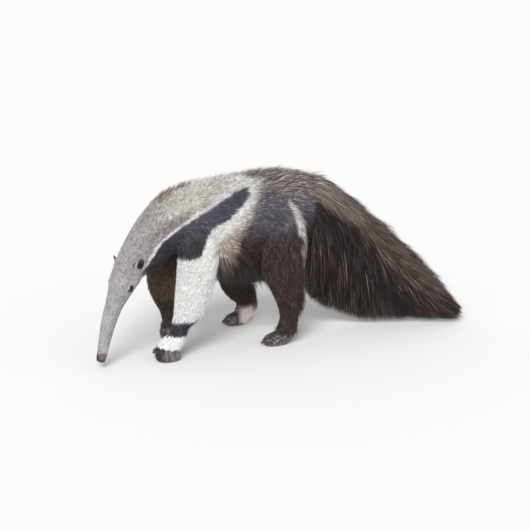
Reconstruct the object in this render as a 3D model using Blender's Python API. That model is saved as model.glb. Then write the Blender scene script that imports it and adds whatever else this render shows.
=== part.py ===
"""A giant anteater at life size, walking slowly with its head lowered to the ground.

Units are metres. +Z is up, the animal faces -Y and its left side is +X.
The body is drawn with its origin on the floor under the chest, and moved at the end so that the
origin is the middle of the whole animal's footprint.
"""

import math
import random

import bmesh
import bpy
import numpy as np
from mathutils import Matrix, Vector

# Thin cuts that part one node from the next
GAP = 0.0003
# Points closer than this are one point
WELD_DISTANCE = 0.000004
# Middle of the footprint, measured from the point on the floor under the chest
FOOTPRINT_MIDDLE = Vector((0.000, 0.290, 0.0))

UP = Vector((0.0, 0.0, 1.0))
FORWARD = Vector((0.0, -1.0, 0.0))

# Rings of the trunk, hip to ear: centre x, y, z, half width, depth above and below, swell below
BODY_SIDES = 20
TRUNK_RINGS = 31
TRUNK = (
    (0.004, 0.440, 0.492, 0.085, 0.140, 0.130, 0.00),
    (0.002, 0.405, 0.490, 0.104, 0.156, 0.155, 0.06),
    (0.000, 0.350, 0.482, 0.122, 0.173, 0.178, 0.10),
    (0.000, 0.270, 0.472, 0.136, 0.186, 0.190, 0.12),
    (0.000, 0.180, 0.470, 0.142, 0.188, 0.192, 0.12),
    (0.000, 0.090, 0.476, 0.140, 0.182, 0.184, 0.10),
    (0.002, 0.010, 0.487, 0.132, 0.167, 0.168, 0.06),
    (0.006, -0.060, 0.497, 0.122, 0.149, 0.150, 0.02),
    (0.013, -0.120, 0.494, 0.110, 0.129, 0.138, 0.00),
    (0.024, -0.172, 0.470, 0.098, 0.110, 0.122, -0.02),
    (0.040, -0.226, 0.436, 0.083, 0.096, 0.103, -0.03),
    (0.055, -0.274, 0.398, 0.071, 0.080, 0.083, -0.03),
    (0.066, -0.314, 0.357, 0.061, 0.066, 0.058, -0.02),
)
# Rings of the trunk where the neck and the head begin
NECK_START_RING = 22
HEAD_START_RING = 28

# Rings of the head, ear to snout tip, as shares of its length with half width, depth above and below
HEAD_RINGS = 22
HEAD_TIP = Vector((0.120, -0.4545, 0.036))
HEAD_TIP_ROUNDING = 0.010
HEAD_BOW = 0.021
HEAD_PROFILE = (
    (0.00, 0.061, 0.066, 0.058),
    (0.08, 0.059, 0.058, 0.047),
    (0.16, 0.055, 0.055, 0.043),
    (0.23, 0.049, 0.050, 0.042),
    (0.30, 0.0420, 0.0430, 0.0400),
    (0.40, 0.0355, 0.0350, 0.0345),
    (0.52, 0.0310, 0.0310, 0.0305),
    (0.66, 0.0270, 0.0275, 0.0265),
    (0.80, 0.0235, 0.0240, 0.0225),
    (0.92, 0.0205, 0.0210, 0.0190),
    (1.00, 0.0185, 0.0180, 0.0165),
)

EYE_RADIUS = 0.0118
EYE_SHARE = 0.196
EYE_SINK = 0.0058
EYE_RISE = 0.004
LID_RADIUS = 0.0152
LID_THICKNESS = 0.0046
LID_STRETCH = 1.25

EAR_WIDTH = 0.034
EAR_HEIGHT = 0.054
EAR_DEPTH = 0.022
EAR_WALL = 0.0030
EAR_SHARE = 0.0
EAR_AROUND = math.radians(10)
EAR_BACK = {"left": 0.010, "right": -0.008}
EAR_LIFT = 0.30
EAR_RISE = {"left": (0.28, 0.36, -0.89), "right": (0.55, 0.30, -0.78)}
EAR_FACING = (0.55, 0.60, 0.45)

MOUTH_DEPTH = 0.026
MOUTH_WIDTH = 0.030
MOUTH_SLIT = 0.0012
MOUTH_BELOW = 0.006
NOSTRIL_RADIUS = 0.0030
NOSTRIL_SPREAD = 0.0075
NOSTRIL_RISE = 0.0050

# Rings of each leg: centre x, y, z, half width, depth in front and behind. x is measured outwards
LEG_SIDES = 16
LEG_RINGS = 12
FORELEG_LEFT = (
    (0.060, -0.040, 0.540, 0.040, 0.060, 0.075),
    (0.090, -0.046, 0.450, 0.052, 0.086, 0.092),
    (0.114, -0.056, 0.365, 0.053, 0.086, 0.078),
    (0.125, -0.079, 0.265, 0.049, 0.077, 0.068),
    (0.127, -0.104, 0.190, 0.042, 0.062, 0.062),
    (0.128, -0.136, 0.130, 0.033, 0.038, 0.037),
    (0.129, -0.152, 0.085, 0.031, 0.034, 0.033),
)
FORELEG_RIGHT = (
    (0.060, 0.000, 0.540, 0.040, 0.060, 0.075),
    (0.078, -0.020, 0.450, 0.050, 0.086, 0.090),
    (0.088, -0.070, 0.365, 0.050, 0.092, 0.090),
    (0.092, -0.102, 0.265, 0.047, 0.090, 0.080),
    (0.090, -0.104, 0.190, 0.042, 0.072, 0.064),
    (0.087, -0.100, 0.130, 0.035, 0.043, 0.038),
    (0.085, -0.098, 0.085, 0.031, 0.033, 0.033),
)
HINDLEG_LEFT = (
    (0.070, 0.300, 0.500, 0.050, 0.085, 0.085),
    (0.098, 0.292, 0.420, 0.062, 0.105, 0.100),
    (0.122, 0.288, 0.330, 0.060, 0.090, 0.092),
    (0.134, 0.298, 0.240, 0.050, 0.068, 0.066),
    (0.139, 0.309, 0.165, 0.039, 0.048, 0.045),
    (0.141, 0.309, 0.115, 0.033, 0.038, 0.036),
    (0.142, 0.304, 0.075, 0.032, 0.039, 0.033),
)
HINDLEG_RIGHT = (
    (0.070, 0.280, 0.500, 0.050, 0.085, 0.085),
    (0.098, 0.250, 0.420, 0.060, 0.105, 0.100),
    (0.122, 0.205, 0.330, 0.060, 0.094, 0.098),
    (0.142, 0.194, 0.240, 0.052, 0.071, 0.056),
    (0.156, 0.222, 0.165, 0.042, 0.065, 0.042),
    (0.163, 0.2575, 0.115, 0.036, 0.053, 0.038),
    (0.165, 0.2605, 0.075, 0.034, 0.041, 0.042),
)
# Cut that parts each leg from the body: height at the body's middle and its rise outwards
FORELEG_CUT_HEIGHT = 0.280
FORELEG_CUT_SLOPE = math.radians(24)
HINDLEG_CUT_HEIGHT = 0.262
HINDLEG_CUT_SLOPE = math.radians(28)

# Rings of the feet, measured from the last ring of the leg: x, y, z, half width, in front, behind
FOOT_RINGS = 10
FOREFOOT = (
    (0.000, 0.000, 0.000, 0.031, 0.034, 0.033),
    (0.001, -0.013, -0.020, 0.035, 0.045, 0.034),
    (0.002, -0.028, -0.042, 0.040, 0.054, 0.042),
    (0.003, -0.035, -0.060, 0.042, 0.056, 0.048),
    (0.003, -0.037, -0.075, 0.040, 0.052, 0.046),
    (0.003, -0.037, -0.085, 0.034, 0.043, 0.039),
)
HINDFOOT = (
    (0.000, 0.000, 0.000, 0.033, 0.041, 0.036),
    (-0.002, -0.003, -0.020, 0.032, 0.041, 0.034),
    (-0.006, -0.015, -0.040, 0.033, 0.044, 0.035),
    (-0.009, -0.034, -0.051, 0.034, 0.034, 0.040),
    (-0.010, -0.058, -0.056, 0.035, 0.027, 0.034),
    (-0.010, -0.080, -0.059, 0.033, 0.021, 0.026),
    (-0.010, -0.096, -0.062, 0.024, 0.013, 0.016),
)
# How far each forefoot is set forward of its wrist, as a share of the rows above
FOREFOOT_REACH = {"left": 1.0, "right": -0.4}

FORE_CLAWS = (
    # share across the foot, length, thickness, how far it curls
    (-1.05, 0.028, 0.0050, 1.2),
    (-0.60, 0.048, 0.0075, 1.9),
    (-0.12, 0.056, 0.0090, 2.0),
    (0.36, 0.034, 0.0060, 1.5),
)
HIND_CLAWS = (
    (-0.86, 0.020, 0.0042, 0.7),
    (-0.46, 0.026, 0.0048, 0.7),
    (0.00, 0.028, 0.0050, 0.7),
    (0.46, 0.026, 0.0048, 0.7),
    (0.86, 0.020, 0.0042, 0.7),
)
CLAW_RISE = 0.020
CLAW_SIDES = 6
CLAW_RINGS = 5

# Upright rings of the tail's flesh and of the outline that the tips of its hair reach:
# centre x, y, z, half width, depth above and below
TAIL_RINGS = 14
FLOOR_CLEARANCE = 0.008
TAIL_CORE = (
    (0.004, 0.440, 0.492, 0.085, 0.140, 0.130),
    (0.008, 0.475, 0.490, 0.073, 0.130, 0.150),
    (0.014, 0.520, 0.478, 0.063, 0.105, 0.155),
    (0.028, 0.580, 0.450, 0.056, 0.072, 0.150),
    (0.050, 0.660, 0.378, 0.050, 0.064, 0.132),
    (0.075, 0.740, 0.292, 0.043, 0.058, 0.115),
    (0.105, 0.820, 0.210, 0.036, 0.050, 0.095),
    (0.135, 0.890, 0.142, 0.028, 0.042, 0.070),
    (0.162, 0.950, 0.090, 0.020, 0.032, 0.045),
    (0.180, 0.990, 0.062, 0.010, 0.016, 0.022),
)
TAIL_OUTLINE = (
    (0.004, 0.440, 0.492, 0.092, 0.151, 0.340),
    (0.006, 0.462, 0.490, 0.090, 0.149, 0.372),
    (0.012, 0.500, 0.480, 0.086, 0.145, 0.392),
    (0.020, 0.545, 0.450, 0.084, 0.146, 0.384),
    (0.034, 0.620, 0.400, 0.080, 0.142, 0.364),
    (0.060, 0.700, 0.345, 0.076, 0.126, 0.332),
    (0.085, 0.780, 0.285, 0.068, 0.108, 0.272),
    (0.110, 0.850, 0.230, 0.058, 0.092, 0.216),
    (0.140, 0.920, 0.165, 0.048, 0.080, 0.155),
    (0.165, 0.980, 0.105, 0.036, 0.060, 0.097),
    (0.190, 1.045, 0.040, 0.014, 0.020, 0.032),
)

# Locks of long hair: thickness as a share of width, where the bends are and how wide each is
LOCK_THICKNESS = 0.16
LOCK_STEPS = (0.0, 0.30, 0.68)
LOCK_WIDTHS = (0.72, 1.0, 0.84)
LOCK_SINK = 0.012
SEED = 31

# Tail: angle round the tail in degrees (90 is the top, -90 the bottom), how many locks,
# how far along the tail each one reaches, how much its tip drops in angle, and its width
TAIL_LENGTH = 0.62
TAIL_FIRST = 0.045
TAIL_LOCKS = (
    (90, 8, 0.105, 0, 0.052),
    (50, 7, 0.095, 8, 0.056),
    (130, 7, 0.095, -8, 0.056),
    (10, 8, 0.075, 20, 0.060),
    (170, 8, 0.075, -20, 0.060),
    (-25, 8, 0.050, 26, 0.062),
    (205, 8, 0.050, -26, 0.062),
    (-58, 9, 0.032, 16, 0.062),
    (238, 9, 0.032, -16, 0.062),
    (-90, 9, 0.025, 0, 0.058),
)

# Hair on body and legs, in columns: angle round the rings in degrees (90 is the top of the body and
# the front of a leg), first and last ring, how many locks, length, width, and the way they lie:
# along the rings, round them, off the skin and down
MANE_LIE = (-1.0, 0.0, 0.18, 0.0)
HAUNCH_LIE = (-0.8, 0.0, 0.20, 0.55)
FRINGE_LIE = (-0.45, 0.0, 0.10, 1.0)
TORSO_LOCKS = (
    (90, 3.2, 20.5, 11, 0.105, 0.044, MANE_LIE),
    (72, 3.0, 20.0, 9, 0.100, 0.052, (-1.0, -0.20, 0.15, 0.0)),
    (108, 3.0, 20.0, 9, 0.100, 0.052, (-1.0, 0.20, 0.15, 0.0)),
    (38, 2.6, 12.0, 5, 0.100, 0.060, HAUNCH_LIE),
    (142, 2.6, 12.0, 5, 0.100, 0.060, HAUNCH_LIE),
    (12, 2.4, 5.2, 2, 0.085, 0.058, HAUNCH_LIE),
    (168, 2.4, 5.2, 2, 0.085, 0.058, HAUNCH_LIE),
    (-58, 9.9, 13.4, 3, 0.070, 0.050, FRINGE_LIE),
    (238, 12.0, 13.8, 2, 0.070, 0.050, FRINGE_LIE),
    (-90, 5.0, 15.0, 6, 0.065, 0.050, FRINGE_LIE),
)
NECK_LOCKS = (
    (90, 24.6, 27.6, 3, 0.070, 0.036, MANE_LIE),
    (62, 24.8, 27.4, 2, 0.065, 0.036, MANE_LIE),
    (118, 24.8, 27.4, 2, 0.065, 0.036, MANE_LIE),
)
FORELEG_LOCKS = ((-90, 4.9, 7.7, 4, 0.055, 0.032, (1.0, 0.0, 0.28, 0.0)),)
HINDLEG_LOCKS = (
    (-75, 5.1, 7.6, 4, 0.070, 0.036, (1.0, 0.0, 0.30, 0.0)),
    (255, 5.1, 7.6, 4, 0.070, 0.036, (1.0, 0.0, 0.30, 0.0)),
)

COLOURS = {
    "coat_dark": (0.055, 0.040, 0.038, 1.0),
    "coat_grey": (0.330, 0.300, 0.290, 1.0),
    "coat_white": (0.700, 0.680, 0.640, 1.0),
    "skin_dark": (0.060, 0.052, 0.050, 1.0),
    "claw": (0.110, 0.095, 0.085, 1.0),
    "eye": (0.008, 0.006, 0.005, 1.0),
}
ROUGHNESS = {"claw": 0.45, "eye": 0.06}


def clear_scene():
    """Empty the file, so that a second run starts afresh."""
    for old in list(bpy.data.objects):
        bpy.data.objects.remove(old)


def material(name):
    """The plain finish of that name."""
    made = bpy.data.materials.get(name) or bpy.data.materials.new(name)
    made.use_nodes = True
    shader = made.node_tree.nodes["Principled BSDF"]
    shader.inputs["Base Color"].default_value = COLOURS[name]
    shader.inputs["Roughness"].default_value = ROUGHNESS.get(name, 0.85)
    shader.inputs["Metallic"].default_value = 0.0
    return made


def smooth_rows(rows, count):
    """Rows read evenly along a smooth curve through the given rows."""
    given = np.array(rows, float)
    steps = np.linalg.norm(np.diff(given[:, :3], axis=0), axis=1)
    places = np.concatenate([[0.0], np.cumsum(steps)])
    slopes = np.gradient(given, places, axis=0)
    wanted = np.linspace(0.0, places[-1], count)
    found = []
    for place in wanted:
        i = min(int(np.searchsorted(places, place, side="right")) - 1, len(places) - 2)
        span = places[i + 1] - places[i]
        t = (place - places[i]) / span
        found.append(
            (2 * t**3 - 3 * t**2 + 1) * given[i]
            + (t**3 - 2 * t**2 + t) * span * slopes[i]
            + (3 * t**2 - 2 * t**3) * given[i + 1]
            + (t**3 - t**2) * span * slopes[i + 1]
        )
    return np.array(found)


def tangents(centres):
    """The direction of a line of points at each point."""
    made = np.gradient(centres, axis=0)
    return [Vector(row).normalized() for row in made]


def ring_points(centre, along, reference, half_width, above, below, swell, sides):
    """One closed ring square to `along`. `reference` points to the side called above."""
    side = reference.cross(along).normalized()
    top = along.cross(side).normalized()
    points = []
    for k in range(sides):
        angle = 2 * math.pi * k / sides
        across = math.cos(angle) * half_width * (1 - swell * math.sin(angle))
        rise = math.sin(angle) * (above if math.sin(angle) > 0 else below)
        points.append(Vector(centre) + side * across + top * rise)
    return points


def loft(name, rings, finish):
    """A closed skin over a row of rings, with both ends filled."""
    shape = bmesh.new()
    loops = [[shape.verts.new(point) for point in ring] for ring in rings]
    sides = len(loops[0])
    for lower, upper in zip(loops, loops[1:]):
        for k in range(sides):
            after = (k + 1) % sides
            shape.faces.new((lower[k], lower[after], upper[after]))
            shape.faces.new((lower[k], upper[after], upper[k]))
    for loop in (loops[0], loops[-1]):
        middle = shape.verts.new(sum((v.co for v in loop), Vector()) / sides)
        for k in range(sides):
            shape.faces.new((loop[k], loop[(k + 1) % sides], middle))
    face_outwards(shape)
    return add_object(name, shape, finish)


def face_outwards(shape):
    """Turn every face of a closed shape outwards."""
    shape.normal_update()
    bmesh.ops.recalc_face_normals(shape, faces=shape.faces[:])


def add_object(name, shape, finish):
    """Put a finished bmesh in the scene as a named object."""
    mesh = bpy.data.meshes.new(name)
    shape.to_mesh(mesh)
    shape.free()
    mesh.materials.append(material(finish))
    mesh.shade_smooth()
    made = bpy.data.objects.new(name, mesh)
    bpy.context.scene.collection.objects.link(made)
    return made


def tube_rings(rows, count, reference, sides):
    """Rings along rows of centre x, y, z, half width, above, below and, if there, swell."""
    read = smooth_rows(rows, count)
    lines = tangents(read[:, :3])
    made = []
    for row, along in zip(read, lines):
        swell = row[6] if len(row) > 6 else 0.0
        made.append(ring_points(row[:3], along, reference, *row[3:6], swell, sides))
    return made, read, lines


def shift_ring(ring, along, distance):
    """The same ring moved along its own axis."""
    return [point + along * distance for point in ring]


def apply_modifiers(obj):
    """Turn what the modifiers make into the object's own mesh."""
    graph = bpy.context.evaluated_depsgraph_get()
    made = bpy.data.meshes.new_from_object(obj.evaluated_get(graph))
    old = obj.data
    obj.modifiers.clear()
    obj.data = made
    bpy.data.meshes.remove(old)


def boolean(obj, other, operation):
    """Join `other` to obj, cut it away or keep what both share."""
    step = obj.modifiers.new("boolean", "BOOLEAN")
    step.operation = operation
    step.object = other
    step.solver = "EXACT"
    apply_modifiers(obj)
    weld(obj)


def weld(obj):
    """Merge points that a cut left on top of one another."""
    shape = bmesh.new()
    shape.from_mesh(obj.data)
    bmesh.ops.remove_doubles(shape, verts=shape.verts[:], dist=WELD_DISTANCE)
    bmesh.ops.dissolve_degenerate(shape, edges=shape.edges[:], dist=WELD_DISTANCE)
    shape.to_mesh(obj.data)
    shape.free()


def remove(*objects):
    """Take helper objects out of the file."""
    for obj in objects:
        bpy.data.objects.remove(obj)


def swollen_copy(obj, distance):
    """A copy of a closed object, a little larger all round."""
    made = obj.copy()
    made.data = obj.data.copy()
    bpy.context.scene.collection.objects.link(made)
    shape = bmesh.new()
    shape.from_mesh(made.data)
    shape.normal_update()
    moved = [(vert, vert.co + vert.normal * distance) for vert in shape.verts]
    for vert, place in moved:
        vert.co = place
    shape.to_mesh(made.data)
    shape.free()
    return made


def keep_largest(obj):
    """Drop any loose scrap that a cut left beside the main body."""
    shape = bmesh.new()
    shape.from_mesh(obj.data)
    unseen = set(shape.verts)
    groups = []
    while unseen:
        front = [unseen.pop()]
        group = set(front)
        while front:
            vert = front.pop()
            for edge in vert.link_edges:
                other = edge.other_vert(vert)
                if other in unseen:
                    unseen.discard(other)
                    group.add(other)
                    front.append(other)
        groups.append(group)
    groups.sort(key=len)
    scraps = [vert for group in groups[:-1] for vert in group]
    bmesh.ops.delete(shape, geom=scraps, context="VERTS")
    shape.to_mesh(obj.data)
    shape.free()


def make_trunk():
    """Torso and neck, sliced out of one row of rings whose last ones belong to the head."""
    rings, read, lines = tube_rings(TRUNK, TRUNK_RINGS, UP, BODY_SIDES)
    back, nape = NECK_START_RING, HEAD_START_RING
    hips_end = shift_ring(rings[0], lines[0], GAP / 2)
    torso_end = shift_ring(rings[back], lines[back], -GAP / 2)
    neck_start = shift_ring(rings[back], lines[back], GAP / 2)
    neck_end = shift_ring(rings[nape], lines[nape], -GAP / 2)
    torso = loft("torso", [hips_end, *rings[1:back], torso_end], "coat_dark")
    loft("neck", [neck_start, *rings[back + 1 : nape], neck_end], "coat_grey")
    return torso, rings, read, lines


def head_rows(start):
    """Rows of the head from the last ring of the neck to the snout's tip, on a slightly bowed line."""
    reach = HEAD_TIP - start
    forehead = reach.cross(UP.cross(reach)).normalized()
    rows = []
    for share, half_width, above, below in HEAD_PROFILE:
        centre = start + reach * share + forehead * HEAD_BOW * (4 * share * (1 - share)) ** 1.5
        rows.append((*centre, half_width, above, below))
    return rows


def make_head(trunk_rings, trunk_read, trunk_lines):
    """Skull and snout with sockets, lids, mouth line and nostrils, and the eyes and ears."""
    rows = head_rows(Vector(trunk_read[-1][:3]))
    rings, read, lines = tube_rings(rows, HEAD_RINGS, UP, BODY_SIDES)
    nape = loft("nape", [*trunk_rings[NECK_START_RING + 1 :], *rings[1 : HEAD_RINGS // 2]], "coat_grey")
    first = shift_ring(trunk_rings[HEAD_START_RING], trunk_lines[HEAD_START_RING], GAP / 2)
    tip, ahead = Vector(read[-1][:3]), lines[-1]
    snout_end = []
    for share in (0.45, 0.80, 0.97):
        shrink = math.sqrt(1 - share**2)
        forward = ahead * HEAD_TIP_ROUNDING * share
        snout_end.append([tip + (point - tip) * shrink + forward for point in rings[-1]])
    head = loft("head", [first, *trunk_rings[HEAD_START_RING + 1 :], *rings[1:], *snout_end], "coat_grey")
    for sign, side_name in ((1, "left"), (-1, "right")):
        make_eye(head, read, lines, sign, side_name)
    cut_mouth(head, tip, ahead)
    for sign, side_name in ((1, "left"), (-1, "right")):
        make_ear(nape, read, lines, sign, side_name)
    remove(nape)
    return head


def head_place(read, lines, share):
    """Row, forward, side and top of the head at a share of its length."""
    place = share * (len(read) - 1)
    i = int(place)
    rest = place - i
    row = [a + (b - a) * rest for a, b in zip(read[i], read[i + 1])]
    ahead = lines[i].lerp(lines[i + 1], rest).normalized()
    side = UP.cross(ahead).normalized()
    return row, ahead, side, ahead.cross(side).normalized()


def ball(name, centre, radii, axes, finish, spin=0.0, rings=6, segments=10):
    """A closed ball stretched along its three axes, its own faces turned by `spin` round the last."""
    shape = bmesh.new()
    bmesh.ops.create_uvsphere(shape, u_segments=segments, v_segments=rings, radius=1.0)
    turn = Matrix([[axes[c][r] * radii[c] for c in range(3)] for r in range(3)])
    turn = turn @ Matrix.Rotation(spin, 3, "Z")
    for vert in shape.verts:
        vert.co = Vector(centre) + turn @ vert.co
    face_outwards(shape)
    return add_object(name, shape, finish)


def make_eye(head, read, lines, sign, side_name):
    """An eyeball in its socket, under a raised rim of lids."""
    row, ahead, side, top = head_place(read, lines, EYE_SHARE)
    out = side * sign
    surface = Vector(row[:3]) + out * row[3] + top * EYE_RISE
    centre = surface - out * EYE_SINK
    rim_axes = (ahead, top, out)
    rim_size = LID_RADIUS + LID_THICKNESS
    rim_radii = (rim_size * LID_STRETCH, rim_size, rim_size * 0.78)
    rim = ball("rim", centre - out * 0.002, rim_radii, rim_axes, "coat_grey")
    boolean(head, rim, "UNION")
    opening_radii = (LID_RADIUS * 0.82, LID_RADIUS * 0.56, LID_RADIUS)
    opening = ball("opening", centre + out * LID_RADIUS, opening_radii, rim_axes, "coat_grey", 0.17)
    boolean(head, opening, "DIFFERENCE")
    socket = ball("socket", centre, (EYE_RADIUS + GAP,) * 3, rim_axes, "coat_grey", 0.31)
    boolean(head, socket, "DIFFERENCE")
    remove(rim, opening, socket)
    ball(f"eye_{side_name}", centre, (EYE_RADIUS,) * 3, rim_axes, "eye", 0.31)


def cut_mouth(head, tip, ahead):
    """The slit of the small mouth and the two nostrils at the snout's end."""
    side = UP.cross(ahead).normalized()
    top = ahead.cross(side).normalized()
    middle = tip + ahead * (HEAD_TIP_ROUNDING - MOUTH_DEPTH / 2) - top * MOUTH_BELOW
    slit_radii = (MOUTH_DEPTH * 0.75, MOUTH_WIDTH, MOUTH_SLIT)
    slit = ball("slit", middle, slit_radii, (ahead, side, top), "coat_grey", 0.4)
    boolean(head, slit, "DIFFERENCE")
    remove(slit)
    for sign in (1, -1):
        place = tip + ahead * HEAD_TIP_ROUNDING * 0.8 + side * sign * NOSTRIL_SPREAD + top * NOSTRIL_RISE
        radii = (0.007, NOSTRIL_RADIUS, NOSTRIL_RADIUS * 1.3)
        hole = ball("hole", place, radii, (ahead, side, top), "coat_grey", 0.25)
        boolean(head, hole, "DIFFERENCE")
        remove(hole)


def along_axes(shares, axes):
    """A direction given as its shares along three axes."""
    return sum((axis * share for share, axis in zip(shares, axes)), Vector()).normalized()


def make_ear(nape, read, lines, sign, side_name):
    """A small round ear, hollowed to a cup that opens forwards and outwards."""
    row, ahead, side, top = head_place(read, lines, EAR_SHARE)
    out = side * sign
    root = Vector(row[:3]) + out * row[3] * math.cos(EAR_AROUND) + top * row[4] * math.sin(EAR_AROUND)
    root -= ahead * EAR_BACK[side_name]
    rise = along_axes(EAR_RISE[side_name], (out, top, ahead))
    facing = along_axes(EAR_FACING, (out, top, ahead))
    across = rise.cross(facing).normalized()
    facing = across.cross(rise).normalized()
    centre = root + rise * EAR_HEIGHT * EAR_LIFT
    axes = (across, rise, facing)
    ear_radii = (EAR_WIDTH / 2, EAR_HEIGHT / 2, EAR_DEPTH / 2)
    ear = ball(f"ear_{side_name}", centre, ear_radii, axes, "coat_grey", 0.0, 8, 12)
    cup_radii = (EAR_WIDTH / 2 - EAR_WALL, EAR_HEIGHT / 2 - EAR_WALL, EAR_DEPTH / 2)
    cup = ball("cup", centre + facing * EAR_WALL * 2.0, cup_radii, axes, "coat_grey", 0.23, 7, 10)
    boolean(ear, cup, "DIFFERENCE")
    flesh = swollen_copy(nape, GAP)
    boolean(ear, flesh, "DIFFERENCE")
    keep_largest(ear)
    remove(cup, flesh)


def mirrored(rows, sign):
    """The same rows on the other side of the body."""
    return [(row[0] * sign, *row[1:]) for row in rows]


def leg_box(name, height, slope, sign, y_middle):
    """A block whose top face is the cut that parts a leg from the body."""
    width, depth, length = 0.5, 0.6, 0.44
    shape = bmesh.new()
    bmesh.ops.create_cube(shape, size=1.0)
    for vert in shape.verts:
        across = (vert.co.x + 0.5) * width + 0.004
        drop = (vert.co.z - 0.5) * depth
        lean = math.tan(slope) * across
        vert.co = Vector((across * sign, y_middle + vert.co.y * length, height + drop + lean))
    face_outwards(shape)
    return add_object(name, shape, "coat_dark")


def make_legs(torso):
    """Four legs fused with the torso and parted again by one slanting cut each."""
    kinds = {
        "foreleg_left": (FORELEG_LEFT, 1, FORELEG_CUT_HEIGHT, FORELEG_CUT_SLOPE, -0.10, "coat_white"),
        "foreleg_right": (FORELEG_RIGHT, -1, FORELEG_CUT_HEIGHT, FORELEG_CUT_SLOPE, -0.10, "coat_white"),
        "hindleg_left": (HINDLEG_LEFT, 1, HINDLEG_CUT_HEIGHT, HINDLEG_CUT_SLOPE, 0.30, "coat_dark"),
        "hindleg_right": (HINDLEG_RIGHT, -1, HINDLEG_CUT_HEIGHT, HINDLEG_CUT_SLOPE, 0.30, "coat_dark"),
    }
    ends = {}
    for name, (rows, sign, _, _, _, _) in kinds.items():
        rings, read, lines = tube_rings(mirrored(rows, sign), LEG_RINGS, FORWARD, LEG_SIDES)
        rings[-1] = shift_ring(rings[-1], lines[-1], -GAP / 2)
        stub = loft("stub", rings, "coat_dark")
        boolean(torso, stub, "UNION")
        if name.startswith("fore"):
            shoulder = swollen_copy(stub, GAP)
            boolean(bpy.data.objects["neck"], shoulder, "DIFFERENCE")
            remove(shoulder)
        remove(stub)
        ends[name] = (Vector(read[-1][:3]), lines[-1], rings)
    whole = torso.data.copy()
    for name, (_, sign, height, slope, y_middle, finish) in kinds.items():
        leg = bpy.data.objects.new(name, whole.copy())
        bpy.context.scene.collection.objects.link(leg)
        block = leg_box("block", height, slope, sign, y_middle)
        boolean(leg, block, "INTERSECT")
        keep_largest(leg)
        leg.data.materials.clear()
        leg.data.materials.append(material(finish))
        block.data.transform(Matrix.Translation((0, 0, GAP / math.cos(slope))))
        boolean(torso, block, "DIFFERENCE")
        remove(block)
    keep_largest(torso)
    return ends


def make_foot(name, rows, end, sign, reach, finish):
    """A foot that grows from the last ring of its leg and ends in a flat sole."""
    centre, along, _ = end
    placed = []
    for row in rows:
        place = (centre.x + row[0] * sign, centre.y + row[1] * reach, centre.z + row[2])
        placed.append((*place, *row[3:]))
    read = smooth_rows(placed, FOOT_RINGS)
    lines = tangents(read[:, :3])
    lines[0] = along
    rings = []
    for row, line in zip(read, lines):
        rings.append(ring_points(row[:3], line, foot_reference(line), *row[3:6], 0.0, LEG_SIDES))
    rings[0] = shift_ring(rings[0], along, GAP / 2)
    foot = loft(name, rings, finish)
    flatten_sole(foot)
    return foot, read, lines


def foot_reference(line):
    """Forwards for a ring of the leg, turning to upwards as the foot turns to the ground."""
    lie = max(0.0, -line.y)
    return (FORWARD * (1 - lie) + UP * lie).normalized()


def flatten_sole(foot):
    """Cut the foot off level with the floor."""
    shape = bmesh.new()
    shape.from_mesh(foot.data)
    parts = shape.verts[:] + shape.edges[:] + shape.faces[:]
    floor = {"plane_co": (0, 0, 0), "plane_no": (0, 0, 1)}
    cut = bmesh.ops.bisect_plane(shape, geom=parts, clear_inner=True, **floor)
    edges = [part for part in cut["geom_cut"] if isinstance(part, bmesh.types.BMEdge)]
    if edges:
        bmesh.ops.contextual_create(shape, geom=edges)
    face_outwards(shape)
    shape.to_mesh(foot.data)
    shape.free()


def claw(name, root, ahead, down, length, thickness, curl, foot):
    """A horn that tapers and curls from `ahead` towards `down`, cut where it leaves the foot."""
    side = ahead.cross(down).normalized()
    rings = []
    place = root - ahead * thickness * 1.6
    step = length / (CLAW_RINGS - 2)
    for i in range(CLAW_RINGS):
        share = i / (CLAW_RINGS - 1)
        angle = curl * share
        along = ahead * math.cos(angle) + down * math.sin(angle)
        across = along.cross(side).normalized()
        size = thickness * (1 - share) ** 0.6 + 0.0006
        ring = []
        for k in range(CLAW_SIDES):
            turn = 2 * math.pi * k / CLAW_SIDES
            ring.append(place + side * math.cos(turn) * size * 0.8 + across * math.sin(turn) * size)
        rings.append(ring)
        place = place + along * step
    made = loft(name, rings, "claw")
    flesh = swollen_copy(foot, GAP)
    boolean(made, flesh, "DIFFERENCE")
    keep_largest(made)
    remove(flesh)
    return made


def toe_place(row, across, sign):
    """A point on the front of a foot's ring, a share of the way across it."""
    aside = across * 0.85
    ahead = math.sqrt(1 - aside**2) * 0.93
    return Vector(row[:3]) + Vector((aside * row[3] * sign, -ahead * row[4], CLAW_RISE))


def make_feet(ends):
    """Four feet with their claws. The fore claws fold inwards, as the animal walks on its knuckles."""
    for side_name, sign in (("left", 1), ("right", -1)):
        end = ends[f"foreleg_{side_name}"]
        reach = FOREFOOT_REACH[side_name]
        foot, read, _ = make_foot(f"forefoot_{side_name}", FOREFOOT, end, sign, reach, "skin_dark")
        for number, (across, length, thickness, curl) in enumerate(FORE_CLAWS, 1):
            root = toe_place(read[FOOT_RINGS - 3], across, sign)
            ahead = Vector(((across * 0.45 - 0.35) * sign, -0.70, -0.25)).normalized()
            down = Vector((-0.70 * sign, 0.75, -0.42)).normalized()
            claw(f"foreclaw_{side_name}_{number}", root, ahead, down, length, thickness, curl, foot)
    for side_name, sign in (("left", 1), ("right", -1)):
        end = ends[f"hindleg_{side_name}"]
        foot, read, _ = make_foot(f"hindfoot_{side_name}", HINDFOOT, end, sign, 1.0, "skin_dark")
        toes = Vector(read[FOOT_RINGS - 2][:3])
        for number, (across, length, thickness, curl) in enumerate(HIND_CLAWS, 1):
            root = toes + Vector((across * 0.025 * sign, -0.010 + 0.016 * across**2, 0.002))
            ahead = Vector((across * 0.30 * sign, -0.95, 0.05)).normalized()
            claw(f"hindclaw_{side_name}_{number}", root, ahead, -UP, length, thickness, curl, foot)


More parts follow.
